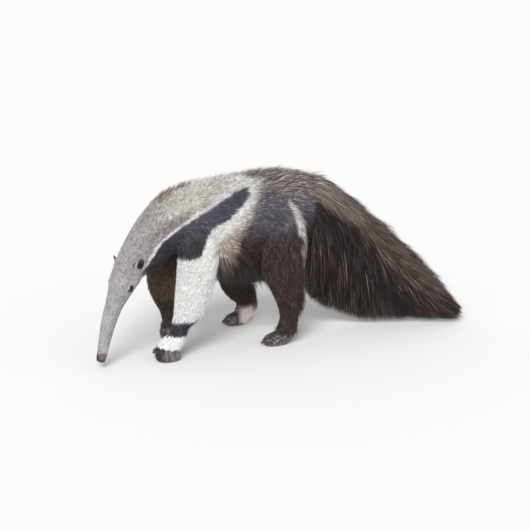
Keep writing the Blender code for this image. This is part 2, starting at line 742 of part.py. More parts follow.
def lock(points, outwards, width, finish):
    """One flat tapered lock along a curve, thickest near its root and pointed at its tip."""
    shape = bmesh.new()
    loops = []
    for step, share in zip(LOCK_STEPS, LOCK_WIDTHS):
        place = bend(points, step)
        along = (bend(points, step + 0.05) - place).normalized()
        across = along.cross(outwards).normalized()
        ridge = across.cross(along).normalized()
        half = across * width * share / 2
        corners = (place - half, place + half, place + ridge * width * share * LOCK_THICKNESS)
        loops.append([shape.verts.new(corner) for corner in corners])
    tip = shape.verts.new(points[-1])
    for lower, upper in zip(loops, loops[1:]):
        for k in range(3):
            after = (k + 1) % 3
            shape.faces.new((lower[k], lower[after], upper[after]))
            shape.faces.new((lower[k], upper[after], upper[k]))
    for k in range(3):
        shape.faces.new((loops[-1][k], loops[-1][(k + 1) % 3], tip))
    shape.faces.new(loops[0])
    face_outwards(shape)
    return add_object("lock", shape, finish)


def bend(points, share):
    """A point a share of the way along the smooth bend that three points give."""
    start, middle, end = points
    return start * (1 - share) ** 2 + middle * 2 * share * (1 - share) + end * share**2


def fuse(node, locks):
    """Join a node and its locks into one closed body."""
    group = bpy.data.collections.new("locks")
    bpy.context.scene.collection.children.link(group)
    for each in locks:
        group.objects.link(each)
    step = node.modifiers.new("fuse", "BOOLEAN")
    step.operation = "UNION"
    step.operand_type = "COLLECTION"
    step.collection = group
    step.solver = "EXACT"
    apply_modifiers(node)
    weld(node)
    remove(*locks)
    bpy.data.collections.remove(group)
    keep_largest(node)


def on_rings(rings, place, degrees):
    """Point on a skin of rings, with its directions along the rings, round them and outwards."""
    sides = len(rings[0])
    i = min(max(int(place), 0), len(rings) - 2)
    turn = degrees / 360 * sides
    k = math.floor(turn)
    ahead, round_share = place - i, turn - k

    def across(ring):
        return ring[k % sides].lerp(ring[(k + 1) % sides], round_share)

    here, there = across(rings[i]), across(rings[i + 1])
    near = rings[i][k % sides].lerp(rings[i + 1][k % sides], ahead)
    far = rings[i][(k + 1) % sides].lerp(rings[i + 1][(k + 1) % sides], ahead)
    along = (there - here).normalized()
    around = (far - near).normalized()
    outwards = around.cross(along).normalized()
    middle = sum(rings[i], Vector()) / sides
    if outwards.dot(here - middle) < 0:
        outwards = -outwards
    return here.lerp(there, ahead), along, around, outwards


def rows_of_locks(rings, table, draw, finish):
    """Locks rooted on a skin of rings, column by column."""
    made = []
    for column, (degrees, first, last, count, length, width, lie) in enumerate(table):
        for i in range(count):
            share = (i + 0.5 + draw.uniform(-0.2, 0.2)) / count
            place = first + (last - first) * share
            start, along, around, outwards = on_rings(rings, place, degrees + draw.uniform(-4, 4))
            reach = length * draw.uniform(0.88, 1.12)
            flat = along * lie[0] + around * (lie[1] + draw.uniform(-0.08, 0.08)) - UP * lie[3]
            tip = start + (flat + outwards * lie[2]).normalized() * reach
            middle = start + (flat * 0.9 + outwards * 0.35).normalized() * reach * 0.5
            size = width * draw.uniform(0.88, 1.12)
            made.append(lock((start - outwards * LOCK_SINK, middle, tip), outwards, size, finish))
    return made


def upright_rings(rows, count):
    """Rings in upright planes along rows of centre x, y, z, half width, above and below."""
    read = smooth_rows(rows, count)
    rings = []
    for row, line in zip(read, tangents(read[:, :3])):
        level = Vector((line.x, line.y, 0.0)).normalized()
        rings.append(ring_points(row[:3], level, UP, *row[3:6], 0.0, BODY_SIDES))
    return rings


def make_tail(root, along, draw):
    """The tail's flesh, and the long hair that hangs from it."""
    rings = upright_rings(TAIL_CORE, TAIL_RINGS)
    start = Vector(root[:3]) - along * GAP / 2
    rings[0] = ring_points(start, -along, UP, *root[3:6], 0.0, BODY_SIDES)
    tail = loft("tail", rings, "coat_dark")
    fuse(tail, tail_locks(rings, upright_rings(TAIL_OUTLINE, TAIL_RINGS * 2), draw))


def tail_locks(core, outline, draw):
    """Locks rooted all over the tail, their tips on the outline of its hair."""
    made = []
    for column, (degrees, count, reach, drop, width) in enumerate(TAIL_LOCKS):
        for i in range(count):
            share = TAIL_FIRST + 0.93 * (i + 0.5 * (column % 2) + draw.uniform(-0.15, 0.15)) / count
            share = min(max(share, TAIL_FIRST), 0.97)
            turn = degrees + draw.uniform(-5, 5)
            start, _, _, outwards = on_rings(core, share * (len(core) - 1), turn)
            tip_share = min(share + reach / TAIL_LENGTH * draw.uniform(0.85, 1.15), 0.999)
            tip = on_rings(outline, tip_share * (len(outline) - 1), turn - drop)[0]
            tip = tip + outwards * draw.uniform(-0.012, 0.004)
            tip.z = max(tip.z, FLOOR_CLEARANCE)
            middle = start.lerp(tip, 0.45) + outwards * (tip - start).length * 0.12
            size = width * (1 - 0.45 * share) * draw.uniform(0.88, 1.12)
            made.append(lock((start - outwards * LOCK_SINK, middle, tip), outwards, size, "coat_dark"))
    return made


def make_hair(trunk_rings, ends, draw):
    """Mane, belly fringe and the fringes behind the legs."""
    fuse(bpy.data.objects["torso"], rows_of_locks(trunk_rings, TORSO_LOCKS, draw, "coat_dark"))
    fuse(bpy.data.objects["neck"], rows_of_locks(trunk_rings, NECK_LOCKS, draw, "coat_grey"))
    for name, (_, _, rings) in ends.items():
        table = FORELEG_LOCKS if name.startswith("fore") else HINDLEG_LOCKS
        leg = bpy.data.objects[name]
        fuse(leg, rows_of_locks(rings, table, draw, leg.data.materials[0].name))


def place_on_footprint():
    """Move the finished animal so that the origin is the middle of its footprint."""
    for obj in bpy.data.objects:
        obj.data.transform(Matrix.Translation(-FOOTPRINT_MIDDLE))


def build():
    clear_scene()
    torso, rings, read, lines = make_trunk()
    ends = make_legs(torso)
    keep_largest(bpy.data.objects["neck"])
    make_head(rings, read, lines)
    make_feet(ends)
    draw = random.Random(SEED)
    make_tail(read[0], lines[0], draw)
    make_hair(rings, ends, draw)
    place_on_footprint()


build()
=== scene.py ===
"""The looks of a life-size giant anteater, walking with its head lowered to the ground.

Units are metres. +Z is up, the animal faces -Y and its left side is +X. Body sizes are measured
from CHEST, the point on the floor under the chest.
"""

import copy
import math

import bmesh
import bpy
import numpy as np
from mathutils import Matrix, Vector
from mathutils.kdtree import KDTree


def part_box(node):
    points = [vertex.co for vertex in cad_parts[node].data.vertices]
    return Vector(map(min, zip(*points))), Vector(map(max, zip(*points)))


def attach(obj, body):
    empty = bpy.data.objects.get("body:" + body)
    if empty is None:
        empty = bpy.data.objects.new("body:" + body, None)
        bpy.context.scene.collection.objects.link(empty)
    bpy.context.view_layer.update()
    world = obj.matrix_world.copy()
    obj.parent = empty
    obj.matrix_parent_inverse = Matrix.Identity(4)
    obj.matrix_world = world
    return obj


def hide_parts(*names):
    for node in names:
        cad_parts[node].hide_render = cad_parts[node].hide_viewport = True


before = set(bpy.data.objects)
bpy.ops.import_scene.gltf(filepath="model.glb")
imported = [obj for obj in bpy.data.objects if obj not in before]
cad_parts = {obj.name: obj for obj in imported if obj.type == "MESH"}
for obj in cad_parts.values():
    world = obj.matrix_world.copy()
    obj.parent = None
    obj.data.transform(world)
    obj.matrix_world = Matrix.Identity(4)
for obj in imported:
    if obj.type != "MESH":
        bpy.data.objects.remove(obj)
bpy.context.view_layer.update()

CHEST = np.array((0.0, -0.290, 0.0))
UP = np.array((0.0, 0.0, 1.0))
FORWARD = np.array((0.0, -1.0, 0.0))

# Camera: where it looks, how far away it stands and from which side
CAMERA_TARGET = Vector((0.0193, -0.0300, 0.2882))
CAMERA_DISTANCE = 7.0
CAMERA_AZIMUTH = math.radians(66.0)
CAMERA_ELEVATION = math.radians(17.0)
CAMERA_LENS = 122.2
CAMERA_SENSOR = 36.0

# Rings of the body, hip to ear: centre x, y, z, half width, depth above and below, swell below
TRUNK = (
    (0.004, 0.440, 0.492, 0.085, 0.140, 0.130, 0.00),
    (0.002, 0.405, 0.490, 0.104, 0.156, 0.155, 0.06),
    (0.000, 0.350, 0.482, 0.122, 0.173, 0.178, 0.10),
    (0.000, 0.270, 0.472, 0.136, 0.186, 0.190, 0.12),
    (0.000, 0.180, 0.470, 0.142, 0.188, 0.192, 0.12),
    (0.000, 0.090, 0.476, 0.140, 0.182, 0.184, 0.10),
    (0.002, 0.010, 0.487, 0.132, 0.167, 0.168, 0.06),
    (0.006, -0.060, 0.497, 0.122, 0.149, 0.150, 0.02),
    (0.013, -0.120, 0.494, 0.110, 0.129, 0.138, 0.00),
    (0.024, -0.172, 0.470, 0.098, 0.110, 0.122, -0.02),
    (0.040, -0.226, 0.436, 0.083, 0.096, 0.103, -0.03),
    (0.055, -0.274, 0.398, 0.071, 0.080, 0.083, -0.03),
    (0.066, -0.314, 0.357, 0.061, 0.066, 0.058, -0.02),
)
# Rings of the head, ear to snout tip, as shares of its length: half width, depth above and below
HEAD_TIP = np.array((0.120, -0.4545, 0.036))
HEAD_TIP_ROUNDING = 0.010
HEAD_BOW = 0.021
HEAD_PROFILE = (
    (0.00, 0.061, 0.066, 0.058),
    (0.08, 0.059, 0.058, 0.047),
    (0.16, 0.055, 0.055, 0.043),
    (0.23, 0.049, 0.050, 0.042),
    (0.30, 0.0420, 0.0430, 0.0400),
    (0.40, 0.0355, 0.0350, 0.0345),
    (0.52, 0.0310, 0.0310, 0.0305),
    (0.66, 0.0270, 0.0275, 0.0265),
    (0.80, 0.0235, 0.0240, 0.0225),
    (0.92, 0.0205, 0.0210, 0.0190),
    (1.00, 0.0185, 0.0180, 0.0165),
)
# Rings of each leg down to the ankle: x outwards, y, z, half width, depth in front and behind
FORELEG_LEFT = (
    (0.060, -0.040, 0.540, 0.040, 0.060, 0.075),
    (0.090, -0.046, 0.450, 0.052, 0.086, 0.092),
    (0.114, -0.056, 0.365, 0.053, 0.086, 0.078),
    (0.125, -0.079, 0.265, 0.049, 0.077, 0.068),
    (0.127, -0.104, 0.190, 0.042, 0.062, 0.062),
    (0.128, -0.136, 0.130, 0.033, 0.038, 0.037),
    (0.129, -0.152, 0.085, 0.031, 0.034, 0.033),
)
FORELEG_RIGHT = (
    (0.060, 0.000, 0.540, 0.040, 0.060, 0.075),
    (0.078, -0.020, 0.450, 0.050, 0.086, 0.090),
    (0.088, -0.070, 0.365, 0.050, 0.092, 0.090),
    (0.092, -0.102, 0.265, 0.047, 0.090, 0.080),
    (0.090, -0.104, 0.190, 0.042, 0.072, 0.064),
    (0.087, -0.100, 0.130, 0.035, 0.043, 0.038),
    (0.085, -0.098, 0.085, 0.031, 0.033, 0.033),
)
HINDLEG_LEFT = (
    (0.070, 0.300, 0.500, 0.050, 0.085, 0.085),
    (0.098, 0.292, 0.420, 0.062, 0.105, 0.100),
    (0.122, 0.288, 0.330, 0.060, 0.090, 0.092),
    (0.134, 0.298, 0.240, 0.050, 0.068, 0.066),
    (0.139, 0.309, 0.165, 0.039, 0.048, 0.045),
    (0.141, 0.309, 0.115, 0.033, 0.038, 0.036),
    (0.142, 0.304, 0.075, 0.032, 0.039, 0.033),
)
HINDLEG_RIGHT = (
    (0.070, 0.280, 0.500, 0.050, 0.085, 0.085),
    (0.098, 0.250, 0.420, 0.060, 0.105, 0.100),
    (0.122, 0.205, 0.330, 0.060, 0.094, 0.098),
    (0.142, 0.194, 0.240, 0.052, 0.071, 0.056),
    (0.156, 0.222, 0.165, 0.042, 0.065, 0.042),
    (0.163, 0.2575, 0.115, 0.036, 0.053, 0.038),
    (0.165, 0.2605, 0.075, 0.034, 0.041, 0.042),
)
# Rings of the feet, measured from the ankle
FOREFOOT = (
    (0.000, 0.000, 0.000, 0.031, 0.034, 0.033),
    (0.001, -0.013, -0.020, 0.035, 0.045, 0.034),
    (0.002, -0.028, -0.042, 0.040, 0.054, 0.042),
    (0.003, -0.035, -0.060, 0.042, 0.056, 0.048),
    (0.003, -0.037, -0.075, 0.040, 0.052, 0.046),
    (0.003, -0.037, -0.085, 0.034, 0.043, 0.039),
)
HINDFOOT = (
    (0.000, 0.000, 0.000, 0.033, 0.041, 0.036),
    (-0.002, -0.003, -0.020, 0.032, 0.041, 0.034),
    (-0.006, -0.015, -0.040, 0.033, 0.044, 0.035),
    (-0.009, -0.034, -0.051, 0.034, 0.034, 0.040),
    (-0.010, -0.058, -0.056, 0.035, 0.027, 0.034),
    (-0.010, -0.080, -0.059, 0.033, 0.021, 0.026),
    (-0.010, -0.096, -0.062, 0.024, 0.013, 0.016),
)
# Each leg: rows, side, foot rows, how far the foot reaches forward as a share of its rows
LEGS = {
    "foreleg_left": (FORELEG_LEFT, 1, FOREFOOT, 1.0),
    "foreleg_right": (FORELEG_RIGHT, -1, FOREFOOT, -0.4),
    "hindleg_left": (HINDLEG_LEFT, 1, HINDFOOT, 1.0),
    "hindleg_right": (HINDLEG_RIGHT, -1, HINDFOOT, 1.0),
}
# Upright rings of the tail's flesh and of the outline that its hair reaches
TAIL_CORE = (
    (0.004, 0.440, 0.492, 0.085, 0.140, 0.130),
    (0.008, 0.475, 0.490, 0.073, 0.130, 0.150),
    (0.014, 0.520, 0.478, 0.063, 0.105, 0.155),
    (0.028, 0.580, 0.450, 0.056, 0.072, 0.150),
    (0.050, 0.660, 0.378, 0.050, 0.064, 0.132),
    (0.075, 0.740, 0.292, 0.043, 0.058, 0.115),
    (0.105, 0.820, 0.210, 0.036, 0.050, 0.095),
    (0.135, 0.890, 0.142, 0.028, 0.042, 0.070),
    (0.162, 0.950, 0.090, 0.020, 0.032, 0.045),
    (0.180, 0.990, 0.062, 0.010, 0.016, 0.022),
)
TAIL_OUTLINE = (
    (0.004, 0.440, 0.492, 0.092, 0.151, 0.340),
    (0.006, 0.462, 0.490, 0.090, 0.149, 0.372),
    (0.012, 0.500, 0.480, 0.086, 0.145, 0.392),
    (0.020, 0.545, 0.450, 0.084, 0.146, 0.384),
    (0.034, 0.620, 0.400, 0.080, 0.142, 0.364),
    (0.060, 0.700, 0.345, 0.076, 0.126, 0.332),
    (0.085, 0.780, 0.285, 0.068, 0.108, 0.272),
    (0.110, 0.850, 0.230, 0.058, 0.092, 0.216),
    (0.140, 0.920, 0.165, 0.048, 0.080, 0.155),
    (0.165, 0.980, 0.105, 0.036, 0.060, 0.097),
    (0.190, 1.045, 0.040, 0.014, 0.020, 0.032),
)

# How deep the coat lies over the flesh, from hips to the end of the neck, on head, legs and tail
TRUNK_DEPTH = (0.011, 0.004)
HEAD_DEPTH = (0.0022, 0.0008)
LEG_DEPTH = (0.0070, 0.0030)
FOOT_DEPTH = 0.0008
TAIL_DEPTH = (0.010, 0.002)

# Rings and sides of the tubes that the skin is grown from
TUBE_SIDES = 44
TRUNK_STEPS = 44
HEAD_STEPS = 40
LEG_STEPS = 26
FOOT_STEPS = 14
TAIL_STEPS = 26

SKIN_VOXEL = 0.0036
SKIN_KEPT = 0.24


def smooth_rows(rows, count):
    """Rows read evenly along a smooth curve through the given rows."""
    given = np.array(rows, float)
    steps = np.linalg.norm(np.diff(given[:, :3], axis=0), axis=1)
    places = np.concatenate([[0.0], np.cumsum(steps)])
    slopes = np.gradient(given, places, axis=0)
    found = []
    for place in np.linspace(0.0, places[-1], count):
        i = min(int(np.searchsorted(places, place, side="right")) - 1, len(places) - 2)
        span = places[i + 1] - places[i]
        t = (place - places[i]) / span
        found.append(
            (2 * t**3 - 3 * t**2 + 1) * given[i]
            + (t**3 - 2 * t**2 + t) * span * slopes[i]
            + (3 * t**2 - 2 * t**3) * given[i + 1]
            + (t**3 - t**2) * span * slopes[i + 1]
        )
    return np.array(found)


def unit(v):
    """Vectors at length one."""
    v = np.asarray(v, float)
    return v / np.maximum(np.linalg.norm(v, axis=-1, keepdims=True), 1e-9)


def tangents(rows):
    return unit(np.gradient(rows[:, :3], axis=0))


def ring(row, along, reference, thinner=0.0, sides=TUBE_SIDES):
    """One ring of points square to `along`, drawn in by `thinner`. `reference` is the side called above."""
    side = unit(np.cross(reference, along))
    top = unit(np.cross(along, side))
    half_width, above, below = (max(size - thinner, 0.001) for size in row[3:6])
    swell = row[6] if len(row) > 6 else 0.0
    angle = np.arange(sides) * 2 * math.pi / sides
    across = np.cos(angle) * half_width * (1 - swell * np.sin(angle))
    rise = np.sin(angle) * np.where(np.sin(angle) > 0, above, below)
    return row[:3] + across[:, None] * side + rise[:, None] * top


def rings_along(rows, lines, reference, thinner):
    """Rings for every row. `thinner` goes evenly from its first value to its last."""
    depths = np.linspace(thinner[0], thinner[-1], len(rows))
    return [ring(row, line, reference, depth) for row, line, depth in zip(rows, lines, depths)]


def in_frame(rows):
    """Rows measured from under the chest, moved to their place in the frame."""
    placed = np.array(rows, float)
    placed[:, :3] += CHEST
    return placed


def head_lines():
    """Rows and directions of the head from the end of the neck to the snout's tip."""
    trunk = smooth_rows(in_frame(TRUNK), TRUNK_STEPS)
    start, along = trunk[-1][:3], tangents(trunk)[-1]
    reach = HEAD_TIP + CHEST - start
    forehead = unit(np.cross(reach, np.cross(UP, reach))) * HEAD_BOW
    rows = [(*(start + reach * s + forehead * (4 * s * (1 - s)) ** 1.5), *sizes) for s, *sizes in HEAD_PROFILE]
    read = smooth_rows(rows, HEAD_STEPS)
    return read, tangents(read)


def body_rings():
    """Rings from the hips to the rounded end of the snout."""
    trunk = smooth_rows(in_frame(TRUNK), TRUNK_STEPS)
    rings = rings_along(trunk, tangents(trunk), UP, TRUNK_DEPTH)
    rows, lines = head_lines()
    head = rings_along(rows, lines, UP, HEAD_DEPTH)
    rings += head[1:]
    tip, ahead = rows[-1][:3], lines[-1]
    for share in (0.30, 0.55, 0.75, 0.90, 0.98):
        shrink = math.sqrt(1 - share**2)
        rings.append(tip + (head[-1] - tip) * shrink + ahead * HEAD_TIP_ROUNDING * share)
    return rings


def leg_rings(name):
    """Rings from inside the body down the leg and on to the end of the foot."""
    rows, side, foot_rows, reach = LEGS[name]
    rows = in_frame([(row[0] * side, *row[1:]) for row in rows])
    read = smooth_rows(rows, LEG_STEPS)
    lines = tangents(read)
    rings = rings_along(read, lines, FORWARD, LEG_DEPTH)
    read_foot, foot_lines = foot_rows_of(name)
    for row, line in list(zip(read_foot, foot_lines))[1:]:
        lie = max(0.0, -line[1])
        rings.append(ring(row, line, unit(FORWARD * (1 - lie) + UP * lie), FOOT_DEPTH))
    for points in rings:
        points[:, 2] = np.maximum(points[:, 2], 0.0)
    return rings


def foot_rows_of(name, steps=FOOT_STEPS):
    """Rows and directions of a foot, from the ankle to its end."""
    rows, side, foot_rows, reach = LEGS[name]
    ankle = in_frame([(rows[-1][0] * side, *rows[-1][1:])])[0]
    placed = [
        (ankle[0] + row[0] * side, ankle[1] + row[1] * reach, ankle[2] + row[2], *row[3:]) for row in foot_rows
    ]
    read = smooth_rows(placed, steps)
    return read, tangents(read)


def tail_rings(rows, thinner, steps):
    """Upright rings along the tail."""
    read = smooth_rows(in_frame(rows), steps)
    lines = tangents(read)
    level = unit(lines * (1, 1, 0))
    return rings_along(read, level, UP, thinner)


def deselect_all():
    if bpy.context.object and bpy.context.object.mode != "OBJECT":
        bpy.ops.object.mode_set(mode="OBJECT")
    bpy.ops.object.select_all(action="DESELECT")


def only(piece):
    """Select one piece and nothing else."""
    deselect_all()
    piece.select_set(True)
    bpy.context.view_layer.objects.active = piece


def apply_modifier(piece, kind, **settings):
    """Add a modifier, set it and apply it."""
    only(piece)
    step = piece.modifiers.new(kind.lower(), kind)
    for name, value in settings.items():
        setattr(step, name, value)
    bpy.ops.object.modifier_apply(modifier=step.name)


def grow(name, rings):
    """A closed tube: a round laid on the first ring and extruded from ring to ring."""
    deselect_all()
    bpy.ops.mesh.primitive_circle_add(vertices=len(rings[0]), fill_type="NGON")
    piece = bpy.context.object
    piece.name = name
    bpy.ops.object.mode_set(mode="EDIT")
    shape = bmesh.from_edit_mesh(piece.data)
    for vert, place in zip(shape.verts, rings[0]):
        vert.co = place
    for before, after in zip(rings, rings[1:]):
        bpy.ops.mesh.extrude_region_move()
        shape = bmesh.from_edit_mesh(piece.data)
        for vert in shape.verts:
            if vert.select:
                vert.co = after[np.argmin(((before - np.array(vert.co)) ** 2).sum(axis=1))]
    bmesh.update_edit_mesh(piece.data)
    bpy.ops.mesh.select_all(action="SELECT")
    bpy.ops.mesh.normals_make_consistent(inside=False)
    bpy.ops.object.mode_set(mode="OBJECT")
    return piece


def ball(name, centre, radii, axes, segments=24, rings=16):
    """A ball stretched along its three axes."""
    deselect_all()
    bpy.ops.mesh.primitive_uv_sphere_add(segments=segments, ring_count=rings, radius=1.0)
    piece = bpy.context.object
    piece.name = name
    co = points_of(piece)
    set_points(piece, np.asarray(centre) + (co * radii) @ np.array(axes))
    return piece


def points_of(piece):
    co = np.empty(len(piece.data.vertices) * 3, np.float32)
    piece.data.vertices.foreach_get("co", co)
    return co.reshape(-1, 3).astype(float)


def set_points(piece, co):
    piece.data.vertices.foreach_set("co", np.asarray(co, np.float32).ravel())
    piece.data.update()


def normals_of(piece):
    found = np.empty(len(piece.data.vertices) * 3, np.float32)
    piece.data.vertex_normals.foreach_get("vector", found)
    return found.reshape(-1, 3).astype(float)


def frame_middle(node):
    low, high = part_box(node)
    return np.array((low + high) / 2)


def head_axes(place):
    """Row of the head nearest a place, with the directions to the snout, the left and the forehead."""
    rows, lines = head_lines()
    i = int(np.argmin(((rows[:, :3] - place) ** 2).sum(axis=1)))
    side = unit(np.cross(UP, lines[i]))
    return rows[i], lines[i], side, unit(np.cross(lines[i], side))


# Ears: width, height, depth, wall and how far round the head from its side they stand
EAR_WIDTH = 0.034
EAR_HEIGHT = 0.054
EAR_DEPTH = 0.022
EAR_WALL = 0.0030
EAR_AROUND = math.radians(10)
EAR_BACK = {1: 0.010, -1: -0.008}
EAR_LIFT = 0.30
EAR_RISE = {1: (0.28, 0.36, -0.89), -1: (0.55, 0.30, -0.78)}
EAR_FACING = (0.55, 0.60, 0.45)


def ear_axes(sign):
    """Middle of an ear with its directions across, upwards and towards its opening."""
    rows, lines = head_lines()
    row, ahead = rows[0], lines[0]
    side = unit(np.cross(UP, ahead))
    top = unit(np.cross(ahead, side))
    out = side * sign
    root = row[:3] + out * row[3] * math.cos(EAR_AROUND) + top * row[4] * math.sin(EAR_AROUND)
    root -= ahead * EAR_BACK[sign]
    axes = np.array((out, top, ahead))
    rise = unit(np.array(EAR_RISE[sign]) @ axes)
    facing = unit(np.array(EAR_FACING) @ axes)
    across = unit(np.cross(rise, facing))
    facing = unit(np.cross(across, rise))
    return root + rise * EAR_HEIGHT * EAR_LIFT, across, rise, facing


def make_ear_cup(sign):
    """A ball whose front half is pressed back into a thin-walled cup."""
    centre, across, rise, facing = ear_axes(sign)
    cup = ball("ear_cup", (0, 0, 0), (1, 1, 1), np.eye(3), 36, 28)
    co = points_of(cup)
    u, v, w = co.T
    bowl = np.sqrt(np.clip(1 - u**2 - v**2, 0, 1))
    wall = 2 * EAR_WALL / EAR_DEPTH
    depth = np.where(w > 0, np.minimum(-bowl + wall * (0.6 + 0.4 * bowl), bowl * 0.25), -bowl)
    size = np.array((EAR_WIDTH / 2, EAR_HEIGHT / 2, EAR_DEPTH / 2))
    shaped = np.stack([u, v, depth], axis=1) * size
    set_points(cup, centre + shaped @ np.array([across, rise, facing]))
    return cup


# Toes of the hind feet: share across the foot
HIND_TOES = (-0.86, -0.46, 0.00, 0.46, 0.86)
TOE_SIZE = (0.0085, 0.0165, 0.0085)
TOE_SPREAD = 0.025


def toe_root(name, across):
    """Where a hind toe's claw leaves the foot."""
    side = LEGS[name][1]
    rows, _ = foot_rows_of(name, 10)
    return rows[8][:3] + np.array((across * TOE_SPREAD * side, -0.010 + 0.016 * across**2, 0.002))


def make_toes(name):
    """Five toes side by side at the front of a hind foot."""
    side = LEGS[name][1]
    toes = []
    for across in HIND_TOES:
        ahead = unit((across * 0.30 * side, -0.95, 0.05))
        out = unit(np.cross(ahead, UP))
        axes = (out, ahead, unit(np.cross(out, ahead)))
        centre = toe_root(name, across) - ahead * 0.006 + UP * 0.001
        toes.append(ball("toe", centre, TOE_SIZE, axes, 16, 12))
    return toes


def join(name, pieces):
    """One object from several."""
    deselect_all()
    for piece in pieces:
        piece.select_set(True)
    bpy.context.view_layer.objects.active = pieces[0]
    bpy.ops.object.join()
    joined = bpy.context.object
    joined.name = name
    return joined


# Guides: points on the tubes with the way the hair lies there
PARTS = ("trunk", "head", "foreleg_left", "foreleg_right", "hindleg_left", "hindleg_right",
         "forefoot_left", "forefoot_right", "hindfoot_left", "hindfoot_right", "tail")
LEG_NAMES = tuple(LEGS)


def guide_tubes():
    """Part name, rings and which way along the rings the hair lies, for every part of the body."""
    trunk = smooth_rows(in_frame(TRUNK), TRUNK_STEPS)
    yield "trunk", rings_along(trunk, tangents(trunk), UP, TRUNK_DEPTH), -1
    rows, lines = head_lines()
    yield "head", rings_along(rows, lines, UP, HEAD_DEPTH), -1
    for name in LEGS:
        rings = leg_rings(name)
        yield name, rings[:LEG_STEPS], 1
        yield name.replace("leg", "foot"), rings[LEG_STEPS:], 1
    yield "tail", tail_rings(TAIL_CORE, TAIL_DEPTH, TAIL_STEPS), 1


def read_guides():
    """Places, lie, part number, share along the part and outward direction of every guide point."""
    places, lies, parts, shares, outs = [], [], [], [], []
    for name, rings, way in guide_tubes():
        rings = np.array(rings)
        count, sides = rings.shape[:2]
        middles = rings.mean(axis=1, keepdims=True)
        places.append(rings.reshape(-1, 3))
        lies.append(unit(np.gradient(rings, axis=0) * way).reshape(-1, 3))
        parts.append(np.full(count * sides, PARTS.index(name)))
        shares.append(np.repeat(np.linspace(0, 1, count), sides))
        outs.append(unit(rings - middles).reshape(-1, 3))
    return [np.concatenate(values) for values in (places, lies, parts, shares, outs)]


GUIDES_READ = 6
GUIDE_REACH = 0.004


class Guide:
    """What the nearest guides say about each of many points."""

    def __init__(self, points, normals):
        places, lies, parts, shares, outs = read_guides()
        tree = KDTree(len(places))
        for i, place in enumerate(places):
            tree.insert(place, i)
        tree.balance()
        found = [tree.find_n(point, GUIDES_READ) for point in points]
        index = np.array([[hit[1] for hit in row] for row in found])
        distance = np.array([[hit[2] for hit in row] for row in found])
        weight = 1 / (distance + GUIDE_REACH) ** 2
        weight /= weight.sum(axis=1, keepdims=True)
        lie = (lies[index] * weight[:, :, None]).sum(axis=1)
        lie -= normals * (lie * normals).sum(axis=1, keepdims=True)
        self.lie = unit(lie)
        self.part = parts[index[:, 0]]
        self.share = (shares[index] * weight).sum(axis=1)
        self.share = np.where((parts[index] == self.part[:, None]).all(axis=1), self.share, shares[index[:, 0]])

    def at(self, index):
        """The same guide for a choice of its points."""
        chosen = copy.copy(self)
        chosen.lie, chosen.part, chosen.share = self.lie[index], self.part[index], self.share[index]
        return chosen

    def on(self, *names):
        """Which points lie on these parts."""
        return np.isin(self.part, [PARTS.index(name) for name in names])


FEET = ("forefoot_left", "forefoot_right", "hindfoot_left", "hindfoot_right")


def vertex_group(piece, name, weights):
    """A vertex group from one weight for each vertex."""
    group = piece.vertex_groups.new(name=name)
    for level in np.unique(np.round(weights, 2)):
        if level > 0:
            chosen = np.flatnonzero(np.round(weights, 2) == level)
            group.add([int(i) for i in chosen], float(level), "REPLACE")
    return group


def select_vertices(piece, chosen):
    """Select these vertices in edit mode, with the faces that they hold."""
    only(piece)
    bpy.ops.object.mode_set(mode="EDIT")
    bpy.ops.mesh.select_mode(type="VERT")
    bpy.ops.mesh.select_all(action="DESELECT")
    bpy.ops.object.mode_set(mode="OBJECT")
    piece.data.vertices.foreach_set("select", np.asarray(chosen, bool))
    bpy.ops.object.mode_set(mode="EDIT")


ANKLE_HEIGHT = 0.095
THROAT_Y = CHEST[1] - 0.270
NAPE_FINE = 0.050


def on_head(points, margin=0.0):
    """Which points lie beyond the end of the neck by more than a margin."""
    rows, lines = head_lines()
    ahead = (points - rows[0][:3]) @ lines[0] > margin
    return ahead & (points[:, 1] < THROAT_Y)


# Where the upper arm blends into the chest, from the side
SHOULDER = (-0.068, 0.408)
SHOULDER_SOFT = 0.085


def make_skin():
    """One closed skin over the whole body, finest on the face and feet."""
    body = grow("skin_body", body_rings())
    only(body)
    bpy.ops.object.duplicate()
    form = bpy.context.object
    apply_modifier(form, "SUBSURF", levels=2, render_levels=2)
    pieces = [body, grow("skin_tail", tail_rings(TAIL_CORE, TAIL_DEPTH, TAIL_STEPS))]
    for name in LEGS:
        pieces.append(grow("skin_leg", leg_rings(name)))
        if name.startswith("hind"):
            pieces += make_toes(name)
    skin = join("skin", pieces)
    apply_modifier(skin, "REMESH", mode="VOXEL", voxel_size=SKIN_VOXEL)
    co = points_of(skin)
    fine = on_head(co, -NAPE_FINE) | (co[:, 2] < ANKLE_HEIGHT)
    vertex_group(skin, "plain", np.where(fine, 0.0, 1.0))
    vertex_group(skin, "fine", np.where(fine, 1.0, 0.0))
    apply_modifier(skin, "SMOOTH", factor=0.8, iterations=16, vertex_group="plain")
    apply_modifier(skin, "SMOOTH", factor=0.5, iterations=4, vertex_group="fine")
    x, y, z = (points_of(skin) - CHEST).T
    shoulder = bump(np.hypot(y - SHOULDER[0], z - SHOULDER[1]), SHOULDER_SOFT) * step(np.abs(x), 0.05, 0.09)
    vertex_group(skin, "shoulder", shoulder)
    apply_modifier(skin, "SMOOTH", factor=0.8, iterations=60, vertex_group="shoulder")
    apply_modifier(skin, "DECIMATE", ratio=SKIN_KEPT, vertex_group="plain")
    for sign in (1, -1):
        ear = make_ear_cup(sign)
        apply_modifier(skin, "BOOLEAN", operation="UNION", object=ear, solver="EXACT")
        bpy.data.objects.remove(ear)
    return skin, form


